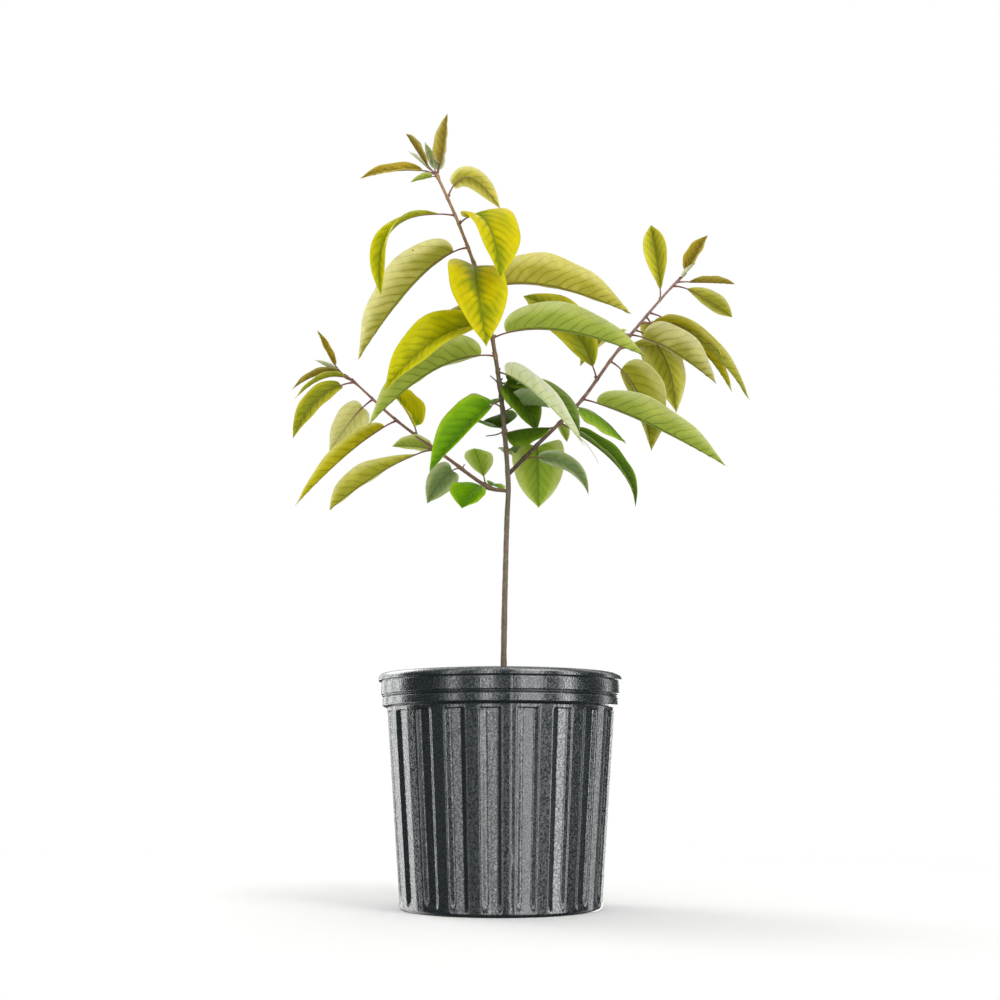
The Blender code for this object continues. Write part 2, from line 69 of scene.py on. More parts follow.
camera_data = bpy.data.cameras.new("camera")
camera_data.sensor_width = SENSOR
camera_data.lens = SENSOR * FOCAL_PIXELS / IMAGE_WIDTH
camera = bpy.data.objects.new("camera", camera_data)
camera.location = CAMERA_PLACE
camera.rotation_euler = (math.radians(90 + CAMERA_TILT), 0, 0)
bpy.context.scene.collection.objects.link(camera)
bpy.context.scene.camera = camera
print("lens", round(camera_data.lens, 1), "mm")

# %% [markdown]
# ## Helpers
#
# Blender wants colours in linear light, but a colour chart gives them as sRGB hex values, so
# one function turns them. Another adds a shader node with its settings and links in one call,
# and a few short ones make the nodes that come back in every material. A material is then a
# recipe: a function that returns what goes into each input of its shader.

# %% Colour and node helpers
def linear(code):
    """A hex colour such as #A0B1C2 as linear red, green and blue: below 0.04045 a channel is
    divided by 12.92, above it ((c + 0.055) / 1.055) is raised to 2.4."""
    channels = np.array([int(code[i:i + 2], 16) for i in (1, 3, 5)]) / 255
    return np.where(channels <= 0.04045, channels / 12.92, ((channels + 0.055) / 1.055) ** 2.4)


def rgba(code):
    return (*linear(code), 1)


def plug(tree, node, inputs):
    """Gives each input its value, or a link from another node's output."""
    for socket, value in inputs.items():
        if isinstance(value, bpy.types.NodeSocket):
            tree.links.new(value, node.inputs[socket])
        else:
            node.inputs[socket].default_value = value


def add_node(tree, kind, inputs=None, **settings):
    """Adds one shader node with its settings and inputs, and returns its outputs."""
    made = tree.nodes.new("ShaderNode" + kind)
    for name, value in settings.items():
        setattr(made, name, value)
    plug(tree, made, inputs or {})
    return made.outputs


def compute(tree, operation, *values):
    return add_node(tree, "Math", dict(enumerate(values)), operation=operation)[0]


def ramp(tree, value, low, high, first, last, smooth=False):
    """Turns low to high into first to last, evenly or as a smooth step."""
    inputs = {"Value": value, "From Min": low, "From Max": high, "To Min": first, "To Max": last}
    kind = "SMOOTHSTEP" if smooth else "LINEAR"
    return add_node(tree, "MapRange", inputs, interpolation_type=kind)[0]


def blend(tree, share, first, second, kind="RGBA"):
    """Share 0 gives the first, and share 1 the second."""
    inputs = {"Factor": share, "A": first, "B": second}
    return add_node(tree, "Mix", inputs, data_type=kind)["Result"]


def noise(tree, where, size, detail, roughness=0.5):
    inputs = {"Vector": where, "Scale": 1 / size, "Detail": detail, "Roughness": roughness}
    return add_node(tree, "TexNoise", inputs)["Fac"]


def cells(tree, where, size, feature="F1"):
    """Distance from the middle of the cell, or from its edge, in cell sizes."""
    inputs = {"Vector": where, "Scale": 1 / size}
    return add_node(tree, "TexVoronoi", inputs, feature=feature)["Distance"]


def relief(tree, height, distance, strength, invert=False):
    inputs = {"Height": height, "Distance": distance, "Strength": strength}
    return add_node(tree, "Bump", inputs, invert=invert)[0]


def new_material(name, recipe):
    """A material whose Principled shader gets what the recipe works out from the node tree
    and the object's own coordinates."""
    material = bpy.data.materials.new(name)
    material.use_nodes = True
    tree = material.node_tree
    where = add_node(tree, "TexCoord")["Object"]
    plug(tree, tree.nodes["Principled BSDF"], recipe(tree, where))
    return material


print("yellow as linear light:", linear("#D9C60E").round(3))

# %% [markdown]
# A mesh is three arrays: points, the faces' corner numbers, and the colours painted on the
# points. Filling them with foreach_set takes milliseconds where a loop would take minutes.
# Nearly everything here is a grid, so its faces come from one function. Where a grid closes
# on itself, or runs together in a point, its doubled points are merged afterwards, so that
# each piece is a closed skin with its faces pointing out.

# %% Mesh helpers
UP = np.array([0, 0, 1.0])


def grid_faces(rows, columns, closed=False):
    """The four corner numbers of each cell of a grid of points, row by row. A closed grid
    joins its last column to its first."""
    i = np.arange(rows - 1)[:, None] * columns
    j = np.arange(columns if closed else columns - 1)[None, :]
    k = (j + 1) % columns
    corners = (i + j, i + k, i + columns + k, i + columns + j)
    return np.stack([c.ravel() for c in corners], axis=1)


def gather(parts):
    """Several surfaces as one. Their points follow each other, so each one's corner numbers
    are raised by the number of points before it."""
    starts = np.cumsum([0] + [len(part[0]) for part in parts])
    points, _, *painted = (np.vstack(column) for column in zip(*parts))
    return points, np.vstack([part[1] + s for part, s in zip(parts, starts)]), *painted


def fill(data, key, values, kind=np.float32):
    data.foreach_set(key, np.asarray(values, kind).ravel())


def put_piece(name, points, faces, material, slot, replaced=(), paint=None, uv=None):
    """Makes the object, merges doubled points, turns every face outwards, and tells the frame what the
    piece rides on.
    The slot, what the piece stands for, is not used."""
    mesh = bpy.data.meshes.new(name)
    mesh.vertices.add(len(points))
    mesh.loops.add(faces.size)
    mesh.polygons.add(len(faces))
    fill(mesh.vertices, "co", points)
    fill(mesh.loops, "vertex_index", faces, np.int32)
    fill(mesh.polygons, "loop_start", np.arange(0, faces.size, faces.shape[1]), np.int32)
    mesh.update(calc_edges=True)
    for layer, colours in (paint or {}).items():
        fill(mesh.color_attributes.new(layer, "FLOAT_COLOR", "POINT").data, "color", colours)
    if uv is not None:
        fill(mesh.uv_layers.new(name="surface").uv, "vector", uv[faces.ravel()])
    shape = bmesh.new()
    shape.from_mesh(mesh)
    bmesh.ops.remove_doubles(shape, verts=shape.verts, dist=0.002 * MM)
    bmesh.ops.recalc_face_normals(shape, faces=shape.faces)
    shape.to_mesh(mesh)
    shape.free()
    mesh.shade_smooth()
    mesh.materials.append(material)
    piece = bpy.data.objects.new(name, mesh)
    bpy.context.scene.collection.objects.link(piece)
    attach(piece, "root")
    if replaced:
        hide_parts(*replaced)
    print(f"{name}: {len(mesh.polygons)} faces")
    return piece


def polar(radius, angle, height):
    """Points given by their distance from the axis, their angle round it and their height."""
    places = (radius * np.cos(angle), radius * np.sin(angle), height)
    return np.stack(np.broadcast_arrays(*places), axis=-1)


def ripple(points, wavelength, seed, waves=7):
    """Soft noise between -1 and 1 with bumps about a wavelength apart: the sum of a few sine
    waves in seeded directions."""
    rng = np.random.default_rng(seed)
    ways = rng.normal(size=(waves, 3))
    pitch = math.tau / wavelength * rng.uniform(0.6, 1.5, (waves, 1))
    ways *= pitch / np.linalg.norm(ways, axis=1, keepdims=True)
    return np.sin(points @ ways.T + rng.uniform(0, math.tau, waves)).sum(-1) / math.sqrt(waves * 2)


def bump_at(distance, width):
    """1 at distance 0, falling off as a bell of that half width."""
    return np.exp(-((distance / width) ** 2))


print("cells of a closed 3 x 4 grid:", len(grid_faces(3, 4, closed=True)))

# %% [markdown]
# ## Wood
#
# The stem is one year's straight growth, then a fork, then the leader, which leans to the
# left. Each limb is a smooth line through a few places, a Catmull-Rom spline, with a taper.
# The skin round it is a tube whose radius also carries what bark has: shallow lengthwise
# ridges, and a swelling at every leaf joint.

# %% Limb lines and leaf joints
TRUNK_LINE = (
    (2.5, 0, 223.3), (4, -1, 321), (6.5, -3, 408), (7.5, -4, 458), (-2, -8, 563),
    (-20, -15, 662), (-46, -24, 737), (-72, -30, 796),
)
RIGHT_LINE = (
    (7.5, -4, 458), (41, 6, 495), (89, 20, 547), (133, 33, 610), (186, 45, 677), (215, 50, 709),
)
LEFT_LINE = (
    (7, -4, 440), (-16, 3, 447), (-58, 15, 480), (-117, 28, 527), (-164, 37, 572), (-177, 38, 581),
)
SOIL_TOP = 223 * MM
FLARE_HEIGHT = 14 * MM
ROOT_FLARE = 1.4
TRUNK_HEIGHTS = (223 * MM, 460 * MM, 800 * MM)
TRUNK_RADII = (3.3 * MM, 2.7 * MM, 1.6 * MM)
RIGHT_RADII = (2.3 * MM, 1.3 * MM)
LEFT_RADII = (2.1 * MM, 1.2 * MM)
Limb = namedtuple("Limb", "line radius_at")


def smooth_line(joints, step=1.5 * MM):
    """A Catmull-Rom curve: between joints b and c it is the cubic that passes through both
    and whose slope at each is half the way between that joint's neighbours."""
    knots = np.array(joints, float) * MM
    knots = np.vstack([2 * knots[0] - knots[1], knots, 2 * knots[-1] - knots[-2]])
    line = []
    for a, b, c, d in zip(knots, knots[1:], knots[2:], knots[3:]):
        count = max(2, round(np.linalg.norm(c - b) / step))
        t = (np.arange(count) / count)[:, None]
        bend = (2 * a - 5 * b + 4 * c - d) * t**2 + (3 * b - a - 3 * c + d) * t**3
        line.append(0.5 * (2 * b + (c - a) * t + bend))
    return np.vstack([*line, knots[-2]])


def at_height(line, height):
    """The line's point at a height. Every limb here climbs all the way."""
    return np.array([np.interp(height, line[:, 2], line[:, axis]) for axis in range(3)])


def trunk_radius(heights):
    flare = np.clip(1 - (heights - SOIL_TOP) / FLARE_HEIGHT, 0, 1) ** 2
    return np.interp(heights, TRUNK_HEIGHTS, TRUNK_RADII) * (1 + (ROOT_FLARE - 1) * flare)


def bough(joints, radii):
    line = smooth_line(joints)
    return Limb(line, lambda heights: np.interp(heights, (line[0, 2], line[-1, 2]), radii))


TRUNK = Limb(smooth_line(TRUNK_LINE), trunk_radius)
RIGHT = bough(RIGHT_LINE, RIGHT_RADII)
LEFT = bough(LEFT_LINE, LEFT_RADII)
print("trunk line:", len(TRUNK.line), "points")

# %% [markdown]
# ## Leaves
#
# A persimmon leaf is a pointed oval with a short stalk. Its main vein curves over, the two
# halves fold up along it like a half-open book, and side veins run off it towards the tip.
# Seen from below, most of these leaves show one half of their pale underside.
#
# A leaf is told by the numbers that shaped its plain solid: the height of its joint, the way
# from there to its tip, how far it arches and is rolled, its width and its fold. The first
# word is new: the colour that the leaf has turned. So are the last numbers, which only some
# leaves have: a twist on the way to the tip, a narrower left or right half, as seen from above
# along the leaf, a widest place nearer the tip, a longer lobe at the base, a shorter stalk.

# %% The leaves, one row each
Leaf = namedtuple(
    "Leaf", "colour joint tip arch roll width fold lead sway twist left right widest lobe stalk",
    defaults=(20, 0.3, 0, 0, 1, 1, 0.37, 0.4, 1),
)

LEADER_LEAVES = (
    Leaf("moss", 591, (-137, -35, -88), 19, -30, 60, 35),
    Leaf("moss", 611, (170, -5, -22), 18, -30, 62, 50),
    Leaf("lime", 623, (-112, -55, -86), 19, 50, 56, 30),
    Leaf("olive", 646, (-76, 64, -66), 16, 0, 42, 25),
    Leaf("straw", 665, (168, 30, -17), 17, -30, 72, 50),
    Leaf("gold", 693, (14, -62, -112), 14, -5, 68, 10, 0.3, -5, lobe=0.7, stalk=0.5),
    Leaf("lime", 697, (4, 100, -46), 3, 0, 44, 25),
    Leaf("cream", 713, (-122, 15, -125), 16, -30, 68, 50, 0.2),
    Leaf("straw", 690, (14, 104, -26), 3, 0, 38, 25),
    Leaf("gold", 739, (46, -60, -84), 29, 12, 72, 10, 0.22, right=0.55, lobe=0.6),
    Leaf("lime", 749, (-80, -20, -99), 40, -15, 26, 30, 0.45, twist=95, widest=0.55),
    Leaf("straw", 769, (59, 20, -5), 30, -60, 25, 20, 0.25),
    Leaf("moss", 793, (-30, -12, -11), 2, -20, 13, 20),
    Leaf("bronze", 795, (-84, -15, -10), 8, 45, 26, 20, widest=0.45),
    Leaf("bronze", 795, (11, -10, 69), -3, 0, 24, 30),
    Leaf("bronze", 795, (-34, -8, 46), -2, 0, 22, 20, widest=0.6),
    Leaf("silver", 795.5, (5, 5, 34), 0, 45, 14, 10),
    Leaf("silver", 795.5, (-14, 10, 44), 0, 30, 11, 10),
    Leaf("silver", 795, (-33, 16, 36), 0, -20, 12, 20),
)
RIGHT_LEAVES = (
    Leaf("moss", 520, (10, 30, -14), 4, 0, 14),
    Leaf("deep", 521, (80, -28, -100), 15, 20, 34, 30, 0.7),
    Leaf("fresh", 540, (57, 8, -40), 7, 40, 38, -20, stalk=0.3),
    Leaf("moss", 550, (154, -35, -84), 6, -30, 54, 50),
    Leaf("olive", 574, (-82, 45, 114), 17, 60, 48, 15, 0.5, widest=0.52),
    Leaf("olive", 597, (44, -12, -107), 12, -62, 64, 20, left=0.4),
    Leaf("olive", 611, (81, 70, -29), 16, 0, 46, 25),
    Leaf("straw", 628, (-53, 70, -15), 16, 0, 38, 25),
    Leaf("cream", 630, (90, -45, -70), 7, -30, 56, 50),
    Leaf("olive", 636, (49, 30, -90), 22, -75, 50, 15),
    Leaf("gold", 644, (108, 26, -74), 23, 5, 50, 20),
    Leaf("straw", 653, (37, 76, -85), 16, 0, 50, 25),
    Leaf("olive", 658, (113, 5, -102), 15, -30, 27, 45, 0.4),
    Leaf("straw", 674, (-6, 25, 101), -6, 25, 36, 40, 0.3, 5, widest=0.62),
    Leaf("olive", 692, (67, -5, -39), 6, -50, 24, 20, widest=0.58),
    Leaf("bronze", 697, (71, 20, 5), 1, -10, 18, 30, widest=0.5),
    Leaf("silver", 699, (19, -12, 18), 0, 0, 9, 30),
    Leaf("bronze", 706, (27, -10, 45), 0, 55, 30, 20, widest=0.5, stalk=0.5),
)
LEFT_LEAVES = (
    Leaf("moss", 487, (-56, 25, 14), 4, -30, 30),
    Leaf("olive", 492, (-113, -25, -73), 8, -40, 42, 40, widest=0.66),
    Leaf("gold", 508, (-28, -28, 44), 6, 62, 56, 25, left=0.7),
    Leaf("gold", 527, (-106, -40, -104), 7, -30, 31, 50),
    Leaf("butter", 553, (-53, 40, -52), 5, -60, 38, 10),
    Leaf("lime", 572, (-68, -12, -20), 16, 10, 20, 30),
    Leaf("olive", 574, (-64, -30, -72), 13, 50, 30, 20, 0.4),
    Leaf("bronze", 579, (-66, 10, -10), 12, 0, 18, 30),
    Leaf("silver", 579.5, (-39, 12, 25), 0, -20, 14, 20),
    Leaf("bronze", 580, (-34, 0, 56), -4, 30, 17, 20, widest=0.45, stalk=1.5),
)
TRUNK_LEAVES = (
    Leaf("sage", 486, (19, 70, 4), 4, -10, 34),
    Leaf("deep", 504, (52, -45, -4), 3, 45, 38, -45, stalk=0.3),
    Leaf("deep", 506, (-26, 42, 22), 3, 20, 56),
    Leaf("sage", 526, (51, -18, 3), 7, -30, 36, 50),
    Leaf("green", 542, (-76, -55, -92), 6, 44, 52, 34, left=0.45),
    Leaf("deep", 562, (41, -5, -58), 8, 60, 40, 10, stalk=0.5),
    Leaf("deep", 554, (88, 2, -50), 20, -30, 33, 20, 0.6),
    Leaf("whitish", 573, (90, -90, -104), 10, -45, 34, 40, lobe=2.2),
    Leaf("green", 532, (-60, 74, -11), 16, 0, 40, 25),
    Leaf("deep", 558, (45, 12, 6), 4, 60, 34, 15, stalk=1.2),
)
RIGHT_BOUGH_LEAVES = (
    Leaf("sage", 478, (69, -25, -46), 18, -60, 20, 10, 0.6),
    Leaf("fresh", 493, (3, 32, -64), 18, 0, 60, 10, 0.2, lobe=0.9, stalk=0.5),
)
LEFT_BOUGH_LEAVES = (
    Leaf("green", 446, (17, 35, 2), 4, 20, 20),
    Leaf("green", 446.5, (-26, -50, -33), 7, 25, 48, 5, left=0.6, lobe=0, widest=0.48),
    Leaf("fresh", 447.5, (-12, -45, 32), 4, 0, 32, 10, widest=0.6),
    Leaf("sage", 469, (-38, 30, -34), 8, -50, 34, 20),
)
print("leaves:", sum(map(len, (LEADER_LEAVES, RIGHT_LEAVES, LEFT_LEAVES, TRUNK_LEAVES,
                               RIGHT_BOUGH_LEAVES, LEFT_BOUGH_LEAVES))))

# %% [markdown]
# Autumn takes the green out of a leaf from its margin inwards and holds out longest along the
# veins. So a turned leaf needs six colours: its upper face, that face along the veins, that
# face at the margin, its underside, the underside along the midrib, and the veins' own lines.

# %% The colours that leaves turn
Turn = namedtuple("Turn", "top heart rim under spine line")

TURNS = {
    "gold": Turn("#CEBF06", "#86940A", "#E0D012", "#CCC228", "#A8A01C", "#6E7006"),
    "lime": Turn("#C2BE0C", "#9A9E0A", "#D6CE1C", "#BCBC3C", "#989A24", "#7E840E"),
    "olive": Turn("#A6A224", "#80881C", "#C4BC3C", "#C0BA4C", "#94942C", "#6A6A1E"),
    "straw": Turn("#C4BE34", "#989A28", "#D8D058", "#D6CA62", "#A29C38", "#746E26"),
    "cream": Turn("#C8C65A", "#A2A83C", "#DDD88A", "#E0D890", "#9A9838", "#74722C"),
    "moss": Turn("#98AC30", "#789224", "#B8C04C", "#BAC45E", "#92A240", "#627226"),
    "fresh": Turn("#86A634", "#6C9028", "#A4B848", "#AABA4E", "#86A034", "#627C24"),
    "green": Turn("#6E9C08", "#527F08", "#9CBE24", "#A8C458", "#86A834", "#427208"),
    "deep": Turn("#48660C", "#3A540A", "#6E8E20", "#88A048", "#6A8434", "#2C480A"),
    "sage": Turn("#6E8C40", "#587632", "#8AA25A", "#8EA068", "#708650", "#566C3C"),
    "whitish": Turn("#6F9A30", "#578420", "#9CBC50", "#F0F4CE", "#DEE6B0", "#A8C078"),
    "butter": Turn("#C8C870", "#B0B458", "#DDD890", "#E4E0A0", "#CFCB84", "#A6A258"),
    "bronze": Turn("#AC962C", "#8A7A22", "#CDB848", "#AC9C3A", "#84742A", "#5C481A"),
    "silver": Turn("#C2CA9C", "#AAB684", "#D6DAB8", "#D8DCC2", "#BCC49E", "#98A47C"),
}
STALK_COLOUR = "#74443A"
GREEN_STALK_COLOUR = "#6A5A34"
GREEN_TURNS = ("green", "deep", "sage", "whitish", "fresh")
print("turns:", ", ".join(TURNS))

# %% [markdown]
# The midrib is a parabola from the joint to the tip. Its control point stands a little off
# the straight line, so the leaf leaves the twig rising and then droops. At each point of it
# three directions are worked out: ahead along the rib, sideways across the blade, and out of
# the blade's upper face.

# %% Midrib and blade directions
STALK_LENGTH = 17 * MM
STALK_SHARE = 0.2
BASE_ROUNDING = 0.55
TIP_DRAWN = 0.5


def unit(vectors):
    return vectors / np.linalg.norm(vectors, axis=-1, keepdims=True)


def sampled(rows, places, at):
    """Each column of an array, read off at new places."""
    return np.stack([np.interp(at, places, column) for column in rows.T], axis=1)


def leaf_midrib(base, leaf, count=121):
    """(1 - t)^2 base + 2 t (1 - t) control + t^2 tip, with its points spaced evenly. Returns
    the line, the level direction in which the leaf points, and the line's length."""
    reach = np.array(leaf.tip, float) * MM
    level = unit(np.array([reach[0], reach[1], 0]))
    along = unit(reach)
    rise = unit(UP - along[2] * along)
    right = np.array([abs(level[1]), -level[0] * math.copysign(1, level[1]), 0])
    control = base + leaf.lead * reach + 2 * leaf.arch * MM * rise + 2 * leaf.sway * MM * right
    t = np.linspace(0, 1, 2 * count)[:, None]
    fine = (1 - t) ** 2 * base + 2 * t * (1 - t) * control + t**2 * (base + reach)
    run = np.concatenate([[0], np.cumsum(np.linalg.norm(np.diff(fine, axis=0), axis=1))])
    return sampled(fine, run, np.linspace(0, run[-1], count)), level, run[-1]


def blade_start(leaf, length):
    """The share of the rib's length that is bare stalk."""
    return leaf.stalk * min(STALK_LENGTH, STALK_SHARE * length) / length


def along_line(line, shares):
    """The line's points and unit directions at shares of its length from 0 to 1."""
    places = np.linspace(0, 1, len(line))
    return sampled(line, places, shares), unit(sampled(np.gradient(line, axis=0), places, shares))


def blade_axes(ahead, level, leaf, t):
    """The directions across the blade and out of its upper face. The face looks up and out,
    and a positive roll turns it to the front. The twist is added from base to tip."""
    face = -ahead[:, 2:] * level + (ahead @ level)[:, None] * UP
    side = unit(np.cross(ahead, face))
    face = np.cross(side, ahead)
    roll = np.radians(leaf.roll + leaf.twist * np.clip(t, 0, 1))[:, None]
    turn = roll * (-1 if side[0, 1] > 0 else 1)
    return np.cos(turn) * side - np.sin(turn) * face, np.cos(turn) * face + np.sin(turn) * side


def blade_outline(t, widest):
    """Half width as a share of the greatest: t^a (1 - t)^b, widest at a / (a + b), and drawn
    in near the tip. A blade that is widest beyond its middle has a wedge-shaped base."""
    a = max(BASE_ROUNDING, 0.8 * widest / (1 - widest))
    b = a * (1 - widest) / widest
    return t**a * (1 - t) ** b / (widest**a * (1 - widest) ** b) * (1 - TIP_DRAWN * t**9)


print("half width at the middle of a blade:", round(blade_outline(0.5, 0.37), 2))

# %% [markdown]
# The blade is a grid with one direction along the rib and one across. Across, each half first
# rises with the fold and then bends back down a little. Side veins leave the rib every 12 mm
# and lean forward, and the blade swells between them. The grid is made twice, half the
# blade's thickness above and below, and the two are closed round the margin, so that upper
# face and underside can have their own colours. Each cell is drawn as two triangles, split from
# its first corner to its third, so the corners start where that split runs along the veins.
#
# Colours that fade over several millimetres are painted on the points. The fine lines of the
# veins are left to the material, which gets their place from a map: its first number counts
# side veins, so a whole number is a vein.

# %% Blade surface
ROW_STEP = 2.2 * MM
HALF_COLUMNS = 12
VEIN_SPACING = 12 * MM
VEIN_LEAN = 1.25
VEIN_WANDER = 0.2
RIGHT_VEINS_AHEAD = 0.37
SWELL = 0.6 * MM
RIB_DEPTH = 0.5 * MM
MARGIN_WAVE = 0.055
THICKNESS = 0.45 * MM
NARROWEST = 0.25 * MM
FLAT_TIP = (0.6 * MM, 5 * MM)


def two_sheets(rows, columns):
    """The faces of a blade's two sheets, and of the rim that joins them."""
    upper = grid_faces(rows, columns).reshape(rows - 1, columns - 1, 4)
    upper[:, :HALF_COLUMNS] = np.roll(upper[:, :HALF_COLUMNS], 1, axis=2)
    upper = upper.reshape(-1, 4)
    size = rows * columns
    ids = np.arange(size).reshape(rows, columns)
    ring = np.concatenate([ids[0, :-1], ids[:-1, -1], ids[-1, :0:-1], ids[:0:-1, 0]])
    after = np.roll(ring, -1)
    rim = np.stack([ring, after, after + size, ring + size], axis=1)
    return np.vstack([upper, np.roll(upper[:, ::-1], 1, axis=1) + size, rim])


def blade(leaf, base, seed):
    """Point (t, a) = rib(t) + half(t) * (cos fold * a * side + lift(a) * face)
    - sweep * ahead + relief * face, with t from base to tip and a from -1 to 1 across."""
    rng = np.random.default_rng(seed)
    line, level, length = leaf_midrib(base, leaf)
    start = blade_start(leaf, length)
    blade_length = (1 - start) * length
    rows = max(14, round(blade_length / ROW_STEP))
    u = np.linspace(0, 1, rows)
    t = u - 0.6 * np.sin(math.tau * u) / math.tau
    a = np.linspace(-1, 1, 2 * HALF_COLUMNS + 1)[None, :, None]
    wide = abs(a)
    rib, ahead = along_line(line, start + t * (1 - start))
    side, face = (axis[:, None] for axis in blade_axes(ahead, level, leaf, t))
    rib, ahead, t = rib[:, None], ahead[:, None], t[:, None, None]
    outline = leaf.width * MM / 2 * blade_outline(t, leaf.widest)
    half = np.maximum(NARROWEST, outline * np.where(a < 0, leaf.left, leaf.right))
    fold = math.radians(leaf.fold) * np.interp(half, FLAT_TIP, (0, 1))

    from_rib = wide * half
    spacing = VEIN_SPACING * min(1, 0.35 + blade_length / (150 * MM))
    count = (t * blade_length - VEIN_LEAN * from_rib) / spacing + (a >= 0) * RIGHT_VEINS_AHEAD
    count = count + VEIN_WANDER * ripple(rib + from_rib * a * side, 24 * MM, seed)[..., None]
    from_vein = abs(count - np.round(count)) * spacing
    veins = SWELL * bump_at(from_vein, 2 * MM) * np.clip(half / (9 * MM), 0, 1) * (1 - wide**3)
    camber = rng.uniform(0.10, 0.22)
    waves = rng.uniform(2.0, 3.4)
    phase = np.where(a < 0, *rng.uniform(0, math.tau, 2))
    margin = MARGIN_WAVE * half * wide**2.5 * np.sin(math.tau * waves * t + phase)
    lift = half * (np.sin(fold) * wide + camber * wide * (1 - wide) * 2) + margin
    lift = lift - veins - RIB_DEPTH * bump_at(from_rib, 1.5 * MM)
    sweep = from_rib * leaf.lobe * (1 - t) ** 2
    middle = rib + half * np.cos(fold) * a * side + lift * face - sweep * ahead

    normal = np.cross(np.gradient(middle, axis=1), np.gradient(middle, axis=0))
    normal /= np.maximum(np.linalg.norm(normal, axis=-1, keepdims=True), 1e-12)
    normal *= np.where((normal * face).sum(-1, keepdims=True) < 0, -1, 1)
    depth = THICKNESS / 2 * (1 - 0.6 * wide**2) * normal
    points = np.concatenate([middle + depth, middle - depth]).reshape(-1, 3)
    shading = blade_colours(leaf, middle, from_vein, from_rib, wide, t, seed)
    mapped = np.concatenate(np.broadcast_arrays(count, wide), axis=-1).reshape(-1, 2)
    return points, two_sheets(rows, a.size), *shading, np.tile(mapped, (2, 1))


def mixed(first, second, share):
    return first + (second - first) * np.clip(share, 0, 1)


def blade_colours(leaf, middle, from_vein, from_rib, wide, t, seed):
    """Two colours at each point, first for the upper face and then for the underside: the
    blade's own, whose fourth number is the gloss, and that of its vein lines."""
    top, heart, rim, under, spine, line = map(linear, TURNS[leaf.colour])
    patch = ripple(middle, 38 * MM, seed)[..., None]
    speckle = ripple(middle, 11 * MM, seed + 1)[..., None]
    veined = bump_at(from_vein, 2.8 * MM) * (1 - 0.6 * wide)
    ribbed = bump_at(from_rib, 6.5 * MM)
    near = bump_at(t, 0.16)
    upper = mixed(top, heart, 0.7 * veined + 0.75 * ribbed + 0.7 * near + 0.4 * patch)
    upper = mixed(upper, rim, np.clip((wide - 0.65) / 0.35, 0, 1) * (0.7 + 0.3 * patch))
    inner = bump_at(wide, 0.55)
    lower = mixed(under, spine, 0.4 * veined + 0.85 * inner + 0.5 * near + 0.25 * patch)
    pale = mixed(under, np.ones(3), 0.22)
    lower = mixed(lower, pale, np.clip((wide - 0.5) / 0.5, 0, 1) * (0.85 + 0.3 * patch))
    fading = np.broadcast_to(1 - 0.65 * wide, from_rib.shape).reshape(-1, 1)
    tints, lines = [], []
    for colour, gloss, strength in ((upper, 1, 0.8), (lower, 0, 1)):
        shaded = (colour * (1 + 0.07 * speckle)).reshape(-1, 3)
        tints.append(np.hstack([shaded, np.full_like(fading, gloss)]))
        lines.append(np.hstack([np.tile(line, (len(fading), 1)), strength * fading]))
    return np.vstack(tints), np.vstack(lines)


def leaves_on(leaves, line, first_seed):
    return [blade(leaf, at_height(line, leaf.joint * MM), first_seed + 10 * k)
            for k, leaf in enumerate(leaves)]


print("one blade:", len(leaves_on(LEADER_LEAVES[:1], TRUNK.line, 1)[0][1]), "faces")

# %% [markdown]
# ## The leaf's surface
#
# A persimmon leaf is leathery. A wax film gives its upper face a soft shine, and its
# underside, with its fine down, is pale and matt. The material takes the painted colours,
# draws the side veins where the map counts a whole number, and adds the net of the finest
# veins, whose real mesh of about 1 mm is drawn at 2.4 mm, as coarse as it needs to show. Here
# and there a small brown spot marks an old sting.

# %% Leaf material
VEIN_NET = 2.4 * MM
SPOT_SPACING = 30 * MM


def leaf_recipe(tree, where):
    tint = add_node(tree, "Attribute", attribute_name="tint")
    lines = add_node(tree, "Attribute", attribute_name="lines")
    mapped = add_node(tree, "UVMap", uv_map="surface")["UV"]
    count, wide, _ = add_node(tree, "SeparateXYZ", {"Vector": mapped})
    reach = ramp(tree, wide, 0, 1, 0.085, 0.03)
    main = ramp(tree, compute(tree, "PINGPONG", count, 0.5), 0, reach, 1, 0, smooth=True)
    minor = ramp(tree, compute(tree, "PINGPONG", count, 0.25), 0, 0.035, 0.28, 0, smooth=True)
    side = compute(tree, "MAXIMUM", main, minor)
    vein = compute(tree, "MAXIMUM", side, ramp(tree, wide, 0.02, 0.07, 1, 0))
    net = ramp(tree, cells(tree, where, VEIN_NET, "DISTANCE_TO_EDGE"), 0, 0.16, 1, 0)
    fine = compute(tree, "MULTIPLY", net, 0.16)
    share = compute(tree, "MAXIMUM", compute(tree, "MULTIPLY", vein, lines["Alpha"]), fine)
    colour = blend(tree, share, tint["Color"], lines["Color"])
    spot = ramp(tree, cells(tree, where, SPOT_SPACING), 0.022, 0.045, 0.85, 0)
    return {
        "Base Color": blend(tree, spot, colour, rgba("#3A2A18")),
        "Roughness": ramp(tree, tint["Alpha"], 0, 1, 0.68, 0.40),
        "Normal": relief(tree, compute(tree, "ADD", vein, fine), 0.4 * MM, 0.6, invert=True),
        "Specular IOR Level": 0.04,
        "Subsurface Weight": 0.35,
        "Subsurface Radius": (1, 1, 0.3),
        "Subsurface Scale": 1.5 * MM,
    }


